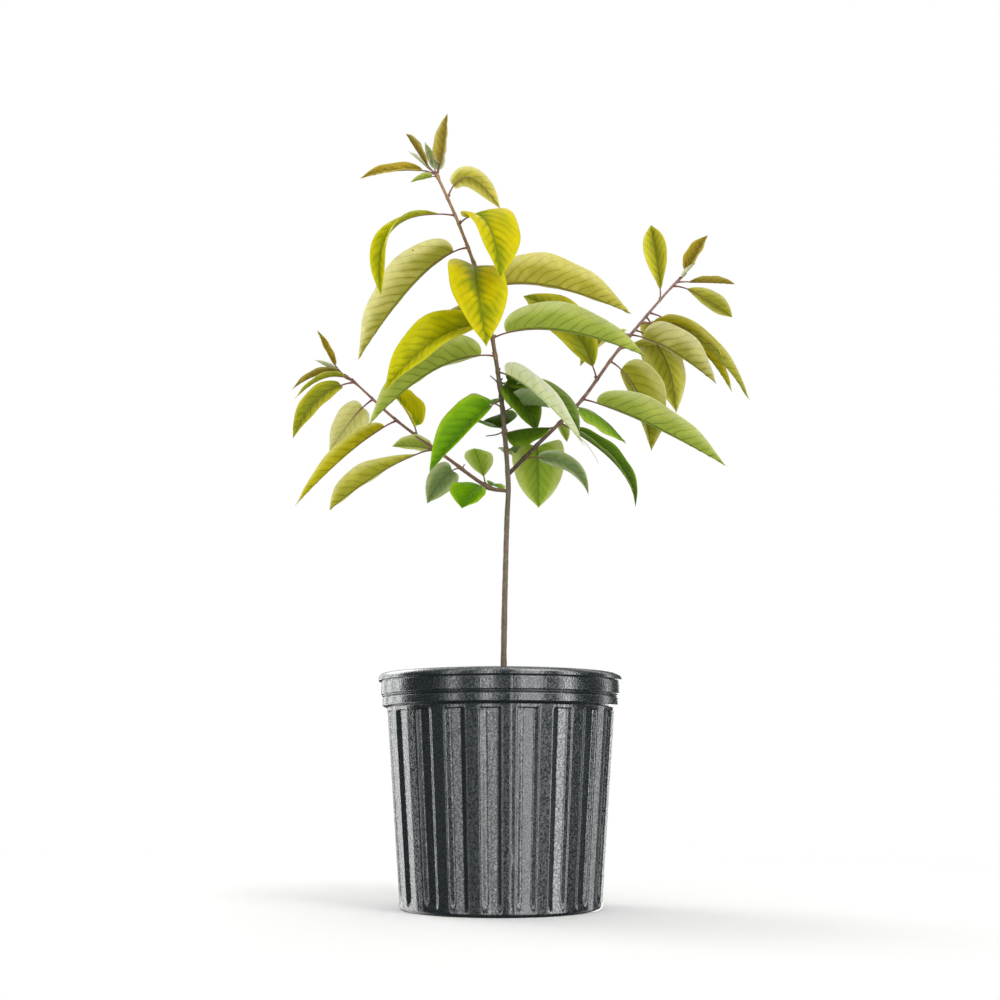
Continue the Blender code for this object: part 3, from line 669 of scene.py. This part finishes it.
leaf_surface = new_material("persimmon leaf, waxy above and downy below", leaf_recipe)
LOW_LEAVES = (
    (TRUNK_LEAVES, TRUNK.line), (RIGHT_BOUGH_LEAVES, RIGHT.line), (LEFT_BOUGH_LEAVES, LEFT.line),
)
LEAVES = (
    ("leader", ((LEADER_LEAVES, TRUNK.line),), ("foliage_leader",)),
    ("right", ((RIGHT_LEAVES, RIGHT.line),), ("foliage_right",)),
    ("left", ((LEFT_LEAVES, LEFT.line),), ("foliage_left",)),
    ("lower", LOW_LEAVES, tuple(sorted(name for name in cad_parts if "_leaf_" in name))),
)
for number, (place, rows, nodes) in enumerate(LEAVES):
    parts = []
    for k, (leaves, line) in enumerate(rows):
        parts += leaves_on(leaves, line, 1000 * number + 300 * k + 7)
    points, faces, tint, lines, uv = gather(parts)
    put_piece(f"{place}_blades", points, faces, leaf_surface, "leaf", nodes,
              {"tint": tint, "lines": lines}, uv)

# %% [markdown]
# ## Stalks and midribs
#
# The stalk is round, a little swollen where it sits on the twig, and runs on under the blade
# as the midrib, thinning out to nothing at the tip. One tube does for both. Young wood and
# stalks are red-brown on the yellow leaves and greener on the green ones.

# %% Tubes
def tube(line, radii, sides):
    """Point (i, j) = line(i) + radius(i, j) * (cos angle(j) * across(i) + sin angle(j) *
    over(i)), with both ends drawn together in a point."""
    ahead = unit(np.gradient(line, axis=0))
    reference = np.eye(3)[np.argmin(abs(ahead.mean(0)))]
    across = unit(np.cross(ahead, reference))[:, None]
    over = np.cross(ahead[:, None], across)
    angle = (np.arange(sides) / sides * math.tau)[:, None]
    radii = np.broadcast_to(np.reshape(radii, (len(line), -1)), (len(line), sides))[..., None]
    skin = line[:, None] + radii * (np.cos(angle) * across + np.sin(angle) * over)
    ends = [np.repeat(line[k][None, None], sides, axis=1) for k in (0, -1)]
    skin = np.concatenate([ends[0], skin, ends[1]])
    return skin.reshape(-1, 3), grid_faces(len(skin), sides, closed=True)


print("a tube of 5 rings:", len(tube(TRUNK.line[:5], np.full(5, MM), 8)[1]), "faces")

# %% Stalks, each running on as a midrib
RIB_RADII = (1.15 * MM, 0.85 * MM, 0.55 * MM, 0.16 * MM)
STALK_SIDES = 8
DRY_TAIL = ((79, -97, 480), (88, -98, 471), (95, -97, 461), (100.3, -98, 450.3))


def stalk(leaf, base):
    """A tube along the midrib whose radius falls from joint to tip. Under the blade it is
    lowered by most of its own radius, so that it only shows below."""
    line, level, length = leaf_midrib(base, leaf)
    start = blade_start(leaf, length)
    shares = np.linspace(0, 0.985, max(12, round(length / (3 * MM))))
    rib, ahead = along_line(line, shares)
    _, face = blade_axes(ahead, level, leaf, (shares - start) / (1 - start))
    size = min(1, 0.35 + 0.65 * length / (80 * MM))
    radius = size * np.interp(shares, (0, start, 0.55, 1), RIB_RADII)
    radius = radius * (1 + 0.5 * bump_at(shares * length, 3 * MM))
    under = np.interp(shares, (start - 0.03, start + 0.05), (0, 0.75))
    sunk = 0.25 * MM * np.interp(shares, (start, start + 0.1), (0, 1))
    points, faces = tube(rib - (under * radius + sunk)[:, None] * face, radius, STALK_SIDES)
    turn = TURNS[leaf.colour]
    young = linear(GREEN_STALK_COLOUR if leaf.colour in GREEN_TURNS else STALK_COLOUR)
    share = np.interp([0, *shares, 1], (start, start + 0.35), (0, 1))[:, None]
    colour = mixed(young, mixed(linear(turn.spine), linear(turn.line), 0.5), share)
    return points, faces, painted(np.repeat(colour, STALK_SIDES, axis=0))


def painted(colours):
    """Colours with a fourth number added to each, as a mesh's paint needs it."""
    return np.hstack([colours, np.ones((len(colours), 1))])


def dry_tail():
    """The tip of one leaf has withered into a thread, which hangs on below the blade."""
    line = smooth_line(DRY_TAIL)
    points, faces = tube(line, np.linspace(0.5, 0.2, len(line)) * MM, STALK_SIDES)
    return points, faces, np.tile(rgba("#A8A880"), (len(points), 1))


def shaded_tint(tree, shade):
    """The colour painted on the points, times a shade."""
    tint = add_node(tree, "Attribute", attribute_name="tint")["Color"]
    return add_node(tree, "VectorMath", {0: tint, "Scale": shade}, operation="SCALE")[0]


def rind_recipe(tree, where):
    """Young rind: smooth, with a dull shine and fine lengthwise streaks."""
    shade = ramp(tree, noise(tree, where, 1.5 * MM, 3), 0, 1, 0.7, 1.3)
    return {"Base Color": shaded_tint(tree, shade), "Roughness": 0.5}


rind = new_material("young persimmon rind", rind_recipe)
for place, rows, nodes in LEAVES:
    parts = [stalk(leaf, at_height(line, leaf.joint * MM)) for leaves, line in rows for leaf in leaves]
    if place == "lower":
        parts.append(dry_tail())
    points, faces, tint = gather(parts)
    put_piece(f"{place}_stalks", points, faces, rind, "leaf", nodes, {"tint": tint})

# %% [markdown]
# ## Bark
#
# The trunk's bark is still thin: grey-brown below, browner on the boughs and reddish on this
# year's shoots. Its ridges run along the stem. Each leaf joint swells the stem on one side,
# and carries a small dark bud in the angle above the stalk.

# %% Bark relief
LIMB_SIDES = 20
RIDGE = 0.06
FINE_RIDGE = 0.05
JOINT_SWELL = 0.22
MOST_SWELL = 0.6


def bark(limb, low, high, leaves, seed):
    """A tube between two heights. Its radius is the taper, times 1 plus ridges that are drawn
    out along the stem, plus a bell-shaped swelling at each leaf joint. Where the limb's line
    begins higher than the tube, the tube goes straight down from there."""
    line = limb.line
    middle = line[(line[:, 2] > low) & (line[:, 2] < high)]
    path = np.vstack([at_height(line, low), middle, at_height(line, high)])
    path[0, 2] = low
    heights = path[:, 2:]
    angle = np.arange(LIMB_SIDES) / LIMB_SIDES * math.tau
    places = polar(6 * MM, angle, heights * 0.3)
    ridges = RIDGE * ripple(places, 5 * MM, seed)
    ridges = ridges + FINE_RIDGE * ripple(places * 3, 5 * MM, seed + 1)
    swell = sum(JOINT_SWELL * bump_at(heights - leaf.joint * MM, 2.6 * MM) for leaf in leaves)
    radii = limb.radius_at(heights) * (1 + ridges + np.minimum(swell, MOST_SWELL))
    return tube(path, radii, LIMB_SIDES)


def wood_paint(points, low_colour, high_colour, low, high, seed):
    share = np.clip((points[:, 2:] - low) / (high - low), 0, 1)
    colour = mixed(linear(low_colour), linear(high_colour), share)
    return painted(colour * (1 + 0.16 * ripple(points, 9 * MM, seed)[:, None]))

# %% Bark material
def bark_recipe(tree, where):
    """Young bark: a dull corky skin with lengthwise cracks under half a millimetre wide and pale
    breathing pores.
    Its colour is darkened in the cracks as painted shade and lightened on the ridges as painted
    highlight."""
    drawn = add_node(tree, "Mapping", {"Vector": where, "Scale": (1, 1, 0.18)})[0]
    cracks = noise(tree, drawn, 0.9 * MM, 4, 0.65)
    # Painted shade and painted highlight: the tint is darkened where the crack noise cuts in and
    # lightened on the ridges between the cracks.
    crack_shaded = shaded_tint(tree, ramp(tree, cracks, 0.3, 0.7, 0.55, 1.35))
    pale = ramp(tree, cells(tree, where, 5 * MM), 0.08, 0.16, 0.55, 0)
    return {
        "Base Color": blend(tree, pale, crack_shaded, rgba("#B8A890")),
        "Normal": relief(tree, cracks, 0.4 * MM, 0.7),
        "Roughness": 0.75,
    }


bark_surface = new_material("young persimmon bark", bark_recipe)

# %% Trunk, boughs and shoots
TRUNK_END = 586 * MM
RIGHT_BOUGH_END = 510 * MM
LEFT_BOUGH_END = 480 * MM
SUNK_IN_MIX = 4 * MM
WOOD = (
    ("trunk_bark", "trunk", TRUNK, SOIL_TOP - SUNK_IN_MIX, TRUNK_END, TRUNK_LEAVES,
     "#7E705C", "#625640"),
    ("leader_shoot", "foliage_leader", TRUNK, TRUNK_END, TRUNK.line[-1, 2], LEADER_LEAVES,
     "#7A6446", "#A5825E"),
    ("bough_right_bark", "bough_right", RIGHT, RIGHT.line[0, 2], RIGHT_BOUGH_END,
     RIGHT_BOUGH_LEAVES, "#3E2E24", "#5A4434"),
    ("right_shoot", "foliage_right", RIGHT, RIGHT_BOUGH_END, RIGHT.line[-1, 2], RIGHT_LEAVES,
     "#76594A", "#94746A"),
    ("bough_left_bark", "bough_left", LEFT, LEFT.line[0, 2], LEFT_BOUGH_END, LEFT_BOUGH_LEAVES,
     "#6E5844", "#80604E"),
    ("left_shoot", "foliage_left", LEFT, LEFT_BOUGH_END, LEFT.line[-1, 2], LEFT_LEAVES,
     "#84604E", "#966A60"),
)
for number, (name, node, limb, low, high, leaves, first, last) in enumerate(WOOD):
    points, faces = bark(limb, low, high, leaves, 50 + number // 2)
    paint = wood_paint(points, first, last, low, high, 60 + number)
    put_piece(name, points, faces, bark_surface, "bark", (node,), {"tint": paint})

# %% Buds, and the stubs of dead twigs
BUD_STEPS = np.array([0, 1, 2, 3, 3.8]) * MM
BUD_RADII = np.array([0.9, 1.2, 1.1, 0.7, 0.15]) * MM
STUBS = (((-3, -8, 560), (-6, -7, 564), (-12, -7, 569.4)),
         ((2, -5, 506), (-5, -5, 503), (-16.4, -5, 501.4)),
         ((-41, 10, 465), (-42, 10, 469), (-40, 10, 473)))
STUB_RADII = (0.9 * MM, 0.6 * MM)
BEARERS = (
    (LEADER_LEAVES + TRUNK_LEAVES, TRUNK), (RIGHT_LEAVES + RIGHT_BOUGH_LEAVES, RIGHT),
    (LEFT_LEAVES + LEFT_BOUGH_LEAVES, LEFT),
)


def bud(limb, leaf):
    """A small pointed bud in the angle above a leaf's stalk."""
    height = leaf.joint * MM
    base = at_height(limb.line, height)
    level = leaf_midrib(base, leaf)[1]
    foot = base + 0.6 * limb.radius_at(np.array(height)) * level + 1.5 * MM * UP
    return tube(foot + BUD_STEPS[:, None] * unit(level + 1.2 * UP), BUD_RADII, STALK_SIDES)


def stub(places):
    line = smooth_line(places)
    return tube(line, np.linspace(*STUB_RADII, len(line)), STALK_SIDES)


parts = [bud(limb, leaf) for leaves, limb in BEARERS for leaf in leaves]
points, faces = gather(parts + [stub(places) for places in STUBS])
paint = wood_paint(points, "#6E5C48", "#7E6450", 440 * MM, 800 * MM, 77)
put_piece("buds_and_stubs", points, faces, bark_surface, "bark", paint={"tint": paint})

# %% [markdown]
# ## The pot
#
# A nursery can is moulded from recycled polyethylene. Its wall is fluted for stiffness, with
# twenty ridges and twenty grooves, under two plain bands and a rolled lip. The skin is one
# surface of two numbers: the place along the section, from the middle of the inner floor up
# the inside, over the lip, down the outside and across the foot, and the angle round the
# axis. The flutes and the mould's seam only move points in and out.

# %% Pot section, in mm
LIP_RADIUS = 130
POT_HEIGHT = 241
FOOT_RADIUS = 105
WALL_TOP_RADIUS = 120.5
WALL_TOP = 204
UPPER_BAND = 127
LOWER_BAND = 125.5
POT_WALL = 1.6
POT_FLOOR = 2.6
FLUTES = 20
FLUTE_DEPTH = 3.2
FLUTE_TOP = 200
FLUTE_FOOT = 6
SHELF = 202
SHELF_DROP = 1.2
LONGEST_STEP = 5


def wall_radius(height):
    return FOOT_RADIUS + (WALL_TOP_RADIUS - FOOT_RADIUS) * height / WALL_TOP


def pot_section():
    """Radius, height and rounding at each corner, from the inner floor's middle."""
    return (
        (0, POT_FLOOR, 0),
        (wall_radius(0) - POT_WALL - 2, POT_FLOOR, 2),
        (wall_radius(FLUTE_TOP) - POT_WALL, FLUTE_TOP, 1),
        (LOWER_BAND - POT_WALL - 1.5, WALL_TOP + 5, 1),
        (LOWER_BAND - POT_WALL - 1.5, WALL_TOP + 14, 1),
        (LIP_RADIUS - 7.6, POT_HEIGHT - 3, 1),
        (LIP_RADIUS - 7, POT_HEIGHT, 1.2),
        (LIP_RADIUS - 3, POT_HEIGHT, 1.5),
        (LIP_RADIUS, WALL_TOP + 33.6, 2),
        (LIP_RADIUS, WALL_TOP + 29.6, 0.6),
        (LIP_RADIUS - 2.6, WALL_TOP + 29, 0.5),
        (LIP_RADIUS - 3.2, WALL_TOP + 27.8, 0.3),
        (UPPER_BAND, WALL_TOP + 27, 0.5),
        (UPPER_BAND, WALL_TOP + 15.4, 0.8),
        (UPPER_BAND - 1.7, WALL_TOP + 14.6, 0.3),
        (UPPER_BAND - 1, WALL_TOP + 13.6, 0.3),
        (LOWER_BAND - 1.4, WALL_TOP + 12.4, 0.3),
        (LOWER_BAND, WALL_TOP + 11.4, 0.6),
        (LOWER_BAND, WALL_TOP + 3.6, 1.2),
        (WALL_TOP_RADIUS + 0.2, WALL_TOP + 1.4, 0.6),
        (wall_radius(SHELF), SHELF, 0),
        (wall_radius(SHELF - SHELF_DROP), SHELF - SHELF_DROP, 0),
        (wall_radius(2.5), 2.5, 1.5),
        (FOOT_RADIUS - 2.5, 0, 0.8),
        (0, 0, 0),
    )


def rounded(corners, steps=4):
    """A line through the corners, each of which becomes a small parabola that starts and
    ends its rounding's length away along its two sides."""
    places = np.array(corners, float)[:, :2]
    path = [places[0]]
    t = np.linspace(0, 1, steps + 1)[:, None]
    for before, here, after, corner in zip(places, places[1:], places[2:], corners[1:]):
        if corner[2] == 0:
            path.append(here)
            continue
        sides = (before - here, after - here)
        first, last = (here + unit(s) * min(corner[2], np.linalg.norm(s) * 0.45) for s in sides)
        path.extend((1 - t) ** 2 * first + 2 * t * (1 - t) * here + t**2 * last)
    return np.array([*path, places[-1]])


def filled_in(path):
    """The path with points added so that no step is too long."""
    made = [path[:1]]
    for first, last in zip(path, path[1:]):
        count = max(1, math.ceil(np.linalg.norm(last - first) / LONGEST_STEP))
        made.append(first + (last - first) * (np.arange(1, count + 1) / count)[:, None])
    return np.vstack(made)


section = filled_in(rounded(pot_section()))
print("pot section:", len(section), "points")

# %% Pot surface
RIDGE_END = 0.42
GROOVE_EDGE = 0.60
GROOVE_END = 0.90
RIDGE_EDGE = 1.04
FLAT_TURNS = (0.08, 0.14, 0.23, 0.32, 0.38, 0.64, 0.70, 0.75, 0.80, 0.86)
SEAM_ANGLES = (-85.4, 94.6)
SEAM_WIDTH = 0.7
SEAM_HEIGHT = 0.25
NUB_PLACE = 56
NUB_HEIGHT = 0.9


def smooth_step(values, low, high):
    t = np.clip((values - low) / (high - low), 0, 1)
    return t * t * (3 - 2 * t)


def eased_ramp(values, low, high, ease=0.2):
    """A straight ramp from 0 to 1 whose two ends are rounded off."""
    t = np.clip((values - low) / (high - low), 0, 1)
    return (1 - ease) * t + ease * smooth_step(t, 0, 1)


def chord(turn, low, high):
    """How far, as a share of the radius, an arc between two turns stands out from its chord.
    Taking it away makes a ridge or a groove flat: 1 - cos(half) / cos(way from the middle)."""
    away = abs((turn - (low + high) / 2 + 0.5) % 1 - 0.5) * math.tau / FLUTES
    half = (high - low) / 2 * math.tau / FLUTES
    return np.maximum(0, 1 - math.cos(half) / np.cos(away)) * (away < half)


def groove_share(turn):
    """0 on a ridge and 1 in a groove, with flat slanting sides between them."""
    part = turn % 1
    up, early = (eased_ramp(part + k, GROOVE_END, RIDGE_EDGE) for k in (0, 1))
    return eased_ramp(part, RIDGE_END, GROOVE_EDGE) - up + 1 - early


def pot_turns():
    """The columns, counted in flutes. They crowd where the flutes' sides and the seams are."""
    sides = (np.linspace(RIDGE_END - 0.02, GROOVE_EDGE + 0.02, 7),
             np.linspace(GROOVE_END - 0.02, RIDGE_EDGE + 0.02, 7) % 1)
    one = np.unique(np.concatenate([*sides, FLAT_TURNS]).round(5))
    seams = [at % 360 / 360 * FLUTES + np.linspace(-0.05, 0.05, 9) for at in SEAM_ANGLES]
    turns = (np.arange(FLUTES)[:, None] + one).ravel()
    return np.unique(np.concatenate([turns, *seams]).round(4))


def pot_surface():
    """Point (s, angle) = (radius(s) - depth * groove(angle) - chord(angle) + seam) round the
    axis, at height(s). The grooves end in a short shelf and fade out at the wall's foot."""
    turn = pot_turns()[None, :]
    angles = turn / FLUTES * math.tau
    radius, height = section[:, :1], section[:, 1:]
    fade = smooth_step(height, FLUTE_FOOT, FLUTE_FOOT + 5)
    fade = fade * (1 - smooth_step(height, SHELF - SHELF_DROP, SHELF))
    flat = chord(turn, RIDGE_EDGE - 1, RIDGE_END) + chord(turn, GROOVE_EDGE, GROOVE_END)
    drop = (FLUTE_DEPTH * groove_share(turn) + radius * flat) * fade
    outer = np.arange(len(section))[:, None] > np.argmax(section[:, 0])
    apart = [abs((angles - math.radians(at) + math.pi) % math.tau - math.pi) * radius
             for at in SEAM_ANGLES]
    seam = SEAM_HEIGHT * sum(bump_at(way, SEAM_WIDTH) for way in apart)
    nub = NUB_HEIGHT * bump_at(apart[0], 1.6) * bump_at(height - NUB_PLACE, 3)
    spread = radius - drop * (radius > wall_radius(0) - 4)
    spread = spread + (seam + nub) * outer * (height > 3) * (radius > 90)
    points = polar(spread, angles, height).reshape(-1, 3) * MM
    return points, grid_faces(len(section), angles.size, closed=True)


print("pot columns:", len(pot_turns()))

# %% [markdown]
# Recycled black polyethylene is never quite black: it is a blue-grey charcoal. The mould was
# blasted, which leaves a fine pebble on the wall, and the part was pulled out of it upwards,
# which leaves drag lines. Both break the soft shine up into specks and streaks. The real
# pebble is about 0.5 mm across and is drawn at 2.3 mm, as coarse as it needs to show.

# %% Pot material
PEBBLE = 2.3 * MM
DRAG_LINE = 2.4 * MM


def pot_recipe(tree, where):
    drawn = add_node(tree, "Mapping", {"Vector": where, "Scale": (1, 1, 0.05)})[0]
    lines = noise(tree, drawn, DRAG_LINE, 4, 0.6)
    pebble = noise(tree, where, PEBBLE, 1, 0.6)
    speck = ramp(tree, pebble, 0.40, 0.62, 0, 1, smooth=True)
    dull = blend(tree, noise(tree, where, 45 * MM, 3), rgba("#0E1316"), rgba("#1B2327"))
    height = compute(tree, "MULTIPLY_ADD", lines, 0.8, pebble)
    return {
        "Base Color": blend(tree, speck, dull, rgba("#1F282C")),
        "Roughness": ramp(tree, speck, 0, 1, 0.30, 0.16),
        "Normal": relief(tree, height, 0.14 * MM, 1),
        "IOR": 1.54,
        "Specular IOR Level": 0.85,
    }


pot_plastic = new_material("recycled polyethylene, moulded and drawn", pot_recipe)

# %% Pot, with its drain holes
DRAIN_HOLES = 6
DRAIN_RADIUS = 7 * MM
DRAIN_CIRCLE = 78 * MM

pot = put_piece("pot_shell", *pot_surface(), pot_plastic, "black_plastic", ("pot",))
for number in range(DRAIN_HOLES):
    place = polar(DRAIN_CIRCLE, math.tau * (number + 0.5) / DRAIN_HOLES, 0)
    bpy.ops.mesh.primitive_cylinder_add(vertices=32, radius=DRAIN_RADIUS, depth=20 * MM, location=place)
    drill = bpy.context.active_object
    cut = pot.modifiers.new("Drain", "BOOLEAN")
    cut.operation = "DIFFERENCE"
    cut.object = drill
    cut.solver = "EXACT"
    seen = pot.evaluated_get(bpy.context.evaluated_depsgraph_get())
    drilled = bpy.data.meshes.new_from_object(seen)
    pot.modifiers.clear()
    pot.data = drilled
    bpy.data.objects.remove(drill)
pot.data.set_sharp_from_angle(angle=math.radians(50))
print("pot faces after drilling:", len(pot.data.polygons))

# %% [markdown]
# ## Potting mix
#
# Peat and composted bark with white perlite. The lip hides it from the front, but from above
# it is the first thing seen. Its plain solid stays and gets the same finish. Over it lies a
# rough skin, and on that thousands of crumbs, each a squashed and dented twenty-faced solid,
# all made at once as one array: crumb (n, corner) = place(n) + turn(n) * size(n) * corner.

# %% Mix material
def mix_material(name, dark, light, grit):
    def recipe(tree, where):
        crumbly = noise(tree, where, grit, 5, 0.7)
        return {
            "Base Color": blend(tree, crumbly, rgba(dark), rgba(light)),
            "Normal": relief(tree, crumbly, 0.8 * MM, 0.9),
            "Roughness": 0.92,
        }

    return new_material(name, recipe)


peat = mix_material("moist peat and bark mix", "#1E1210", "#4A302A", 3 * MM)
perlite = mix_material("perlite, expanded white rock", "#CFCBC4", "#F4F2EE", 1 * MM)
wood_chip = mix_material("composted pine bark chip", "#4A3026", "#7E5A44", 2 * MM)
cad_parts["potting_mix"].data.materials.clear()
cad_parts["potting_mix"].data.materials.append(peat)
print("potting mix now has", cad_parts["potting_mix"].data.materials[0].name)

# %% Mix surface, crumbs, perlite and chips
MIX_RADIUS = 114.5 * MM
MIX_RINGS = (0, 16 * MM, 60 * MM, 114.9 * MM)
MIX_DROPS = (0, 0, 1.5 * MM, 5 * MM)


def mix_height(radius):
    """The plain solid's top: flat round the stem, then falling off to the edge."""
    return SOIL_TOP - np.interp(radius, MIX_RINGS, MIX_DROPS)


def mix_skin():
    """Point (r, angle) at the plain top's height plus 1.6 mm and three sizes of noise. The
    rim and the underside close it into a thin cake."""
    radius = np.linspace(0.5 * MM, MIX_RADIUS, 110)[:, None]
    angles = (np.arange(260) / 260 * math.tau)[None, :]
    flat = polar(radius, angles, 0)
    rough = (1.3 * ripple(flat, 26 * MM, 71) + 0.8 * ripple(flat, 9 * MM, 72)
             + 0.6 * ripple(flat, 4 * MM, 73)) * MM
    top = flat + UP * (mix_height(radius) + 1.6 * MM + rough)[..., None]
    under = flat[::-1] + UP * (mix_height(radius[::-1]) - 1 * MM)[..., None]
    sheet = np.concatenate([top[:1] * UP, top, under, under[-1:] * UP])
    return sheet.reshape(-1, 3), grid_faces(len(sheet), angles.size, closed=True)


def crumbs(count, low, high, flatness, seed):
    """Squashed, turned and dented icosahedra strewn evenly over the mix. The square root of
    an even draw gives the radius, because a ring's area grows with it."""
    rng = np.random.default_rng(seed)
    shape = bmesh.new()
    bmesh.ops.create_icosphere(shape, subdivisions=1, radius=1)
    corners = np.array([v.co for v in shape.verts])
    sides = np.array([[v.index for v in f.verts] for f in shape.faces])
    shape.free()
    radius = (MIX_RADIUS - 3 * MM) * np.sqrt(rng.uniform(0, 1, count))
    angle = rng.uniform(0, math.tau, count)
    size = rng.uniform(low, high, (count, 1, 1)) / 2
    stretch = rng.uniform(0.7, 1.3, (count, 1, 3)) * [1, 1, flatness]
    dented = corners[None] * rng.uniform(0.75, 1.15, (count, 12, 1))
    turned, _ = np.linalg.qr(rng.normal(size=(count, 3, 3)) + 2.2 * np.eye(3))
    local = np.einsum("nij,nkj->nki", turned, dented * stretch * size)
    points = polar(radius, angle, mix_height(radius) + 1.8 * MM)[:, None] + local
    faces = sides[None] + 12 * np.arange(count)[:, None, None]
    return points.reshape(-1, 3), faces.reshape(-1, 3)


STREWN = (
    ("mix_crumbs", 4200, 1.5, 5, 0.8, peat), ("mix_perlite", 420, 1.5, 4.5, 0.9, perlite),
    ("mix_chips", 260, 4, 10, 0.3, wood_chip),
)
put_piece("mix_skin", *mix_skin(), peat, "potting_mix")
for seed, (name, count, low, high, flatness, material) in enumerate(STREWN, 81):
    strewn = crumbs(count, low * MM, high * MM, flatness, seed)
    put_piece(name, *strewn, material, "potting_mix")

# %% [markdown]
# ## Floor and light
#
# The pot stands on a pale floor that fades into a white sweep. Dark shiny plastic shows little
# of its own colour: its shape comes from what it mirrors. So the studio that glossy rays see
# is a dark room with tall bright strips round it, each at its own compass bearing, and the
# floor is kept out of the mirror. All other rays see an even white tent, which suits leaves.

# %% Floor
FLOOR_REACH = 14.0


def floor_recipe(tree, where):
    """Matt near the pot and glowing white further out, so that the floor meets the white
    behind it without an edge."""
    away = add_node(tree, "VectorMath", {0: where}, operation="LENGTH")["Value"]
    share = ramp(tree, away, 0.3, 1.3, 0, 1, smooth=True)
    glow = add_node(tree, "Emission", {"Color": rgba("#FFFFFF"), "Strength": 1})[0]
    matt = tree.nodes["Principled BSDF"].outputs[0]
    both = add_node(tree, "MixShader", {0: share, 1: matt, 2: glow})[0]
    plug(tree, tree.nodes["Material Output"], {"Surface": both})
    return {"Base Color": rgba("#F6F6F5"), "Roughness": 0.9}


r = FLOOR_REACH
mesh = bpy.data.meshes.new("floor")
mesh.from_pydata([(-r, -r, 0), (r, -r, 0), (r, r, 0), (-r, r, 0)], [], [(0, 1, 2, 3)])
mesh.materials.append(new_material("pale studio floor", floor_recipe))
floor = bpy.data.objects.new("floor", mesh)
floor.visible_glossy = False
bpy.context.scene.collection.objects.link(floor)
print("floor:", 2 * FLOOR_REACH, "m wide")

# %% Studio round the plant
TENT = 0.74
ROOM = 0.07
CEILING = 0.7
SCREENS = ((-155, 5, 3.0), (-134, 5, 5.0), (-116, 4, 8.0), (-46, 3.5, 4.5), (-13, 3, 8.0),
           (22, 3, 8.0), (35, 3, 7.5), (66, 4, 9.5), (122, 4, 3.6), (165, 6, 4.5))
SCREEN_EDGE = (1.4, 0.6)


def studio_world():
    """White to the camera. To glossy rays: for each screen, a smooth step on the dot product
    of the ray's compass direction with the screen's own, plus a pale ceiling, and darker
    towards the ground. To all others: an even light."""
    world = bpy.data.worlds.new("studio")
    world.use_nodes = True
    bpy.context.scene.world = world
    tree = world.node_tree
    where = add_node(tree, "TexCoord")["Generated"]
    level = add_node(tree, "VectorMath", {0: where, 1: (1, 1, 0)}, operation="MULTIPLY")[0]
    compass = add_node(tree, "VectorMath", {0: level}, operation="NORMALIZE")[0]
    height = add_node(tree, "SeparateXYZ", {0: where})["Z"]
    mirrored = ramp(tree, height, 0.15, 0.8, ROOM, CEILING)
    for bearing, half_width, brightness in SCREENS:
        turn = math.radians(bearing)
        ways = {0: compass, 1: (math.sin(turn), -math.cos(turn), 0)}
        toward = add_node(tree, "VectorMath", ways, operation="DOT_PRODUCT")["Value"]
        edges = [math.cos(math.radians(edge * half_width)) for edge in SCREEN_EDGE]
        screen = ramp(tree, toward, *edges, 0, brightness, smooth=True)
        mirrored = compute(tree, "ADD", mirrored, screen)
    grounded = compute(tree, "MULTIPLY", mirrored, ramp(tree, height, -0.75, -0.3, 0.05, 1))
    path = add_node(tree, "LightPath")
    glossy = blend(tree, path["Is Glossy Ray"], TENT, grounded, "FLOAT")
    seen = blend(tree, path["Is Camera Ray"], glossy, 1, "FLOAT")
    plug(tree, tree.nodes["Background"], {"Color": (1, 1, 1, 1), "Strength": seen})


studio_world()
print("screens:", len(SCREENS))

# %% Lamps
def soft_box(name, place, aim, size, power):
    lamp = bpy.data.lights.new(name, "AREA")
    lamp.shape = "SQUARE"
    lamp.size = size
    lamp.energy = power
    box = bpy.data.objects.new(name, lamp)
    box.location = place
    box.rotation_euler = (Vector(aim) - Vector(place)).to_track_quat("-Z", "Y").to_euler()
    box.visible_camera = False
    bpy.context.scene.collection.objects.link(box)
    print(name, power, "W")


soft_box("key", (1.4, -1.7, 2.0), (0, 0, 0.5), 1.0, 24)
soft_box("back_left", (-1.5, 1.3, 1.6), (0, 0, 0.5), 1.2, 18)
bpy.context.scene.view_settings.view_transform = "Standard"
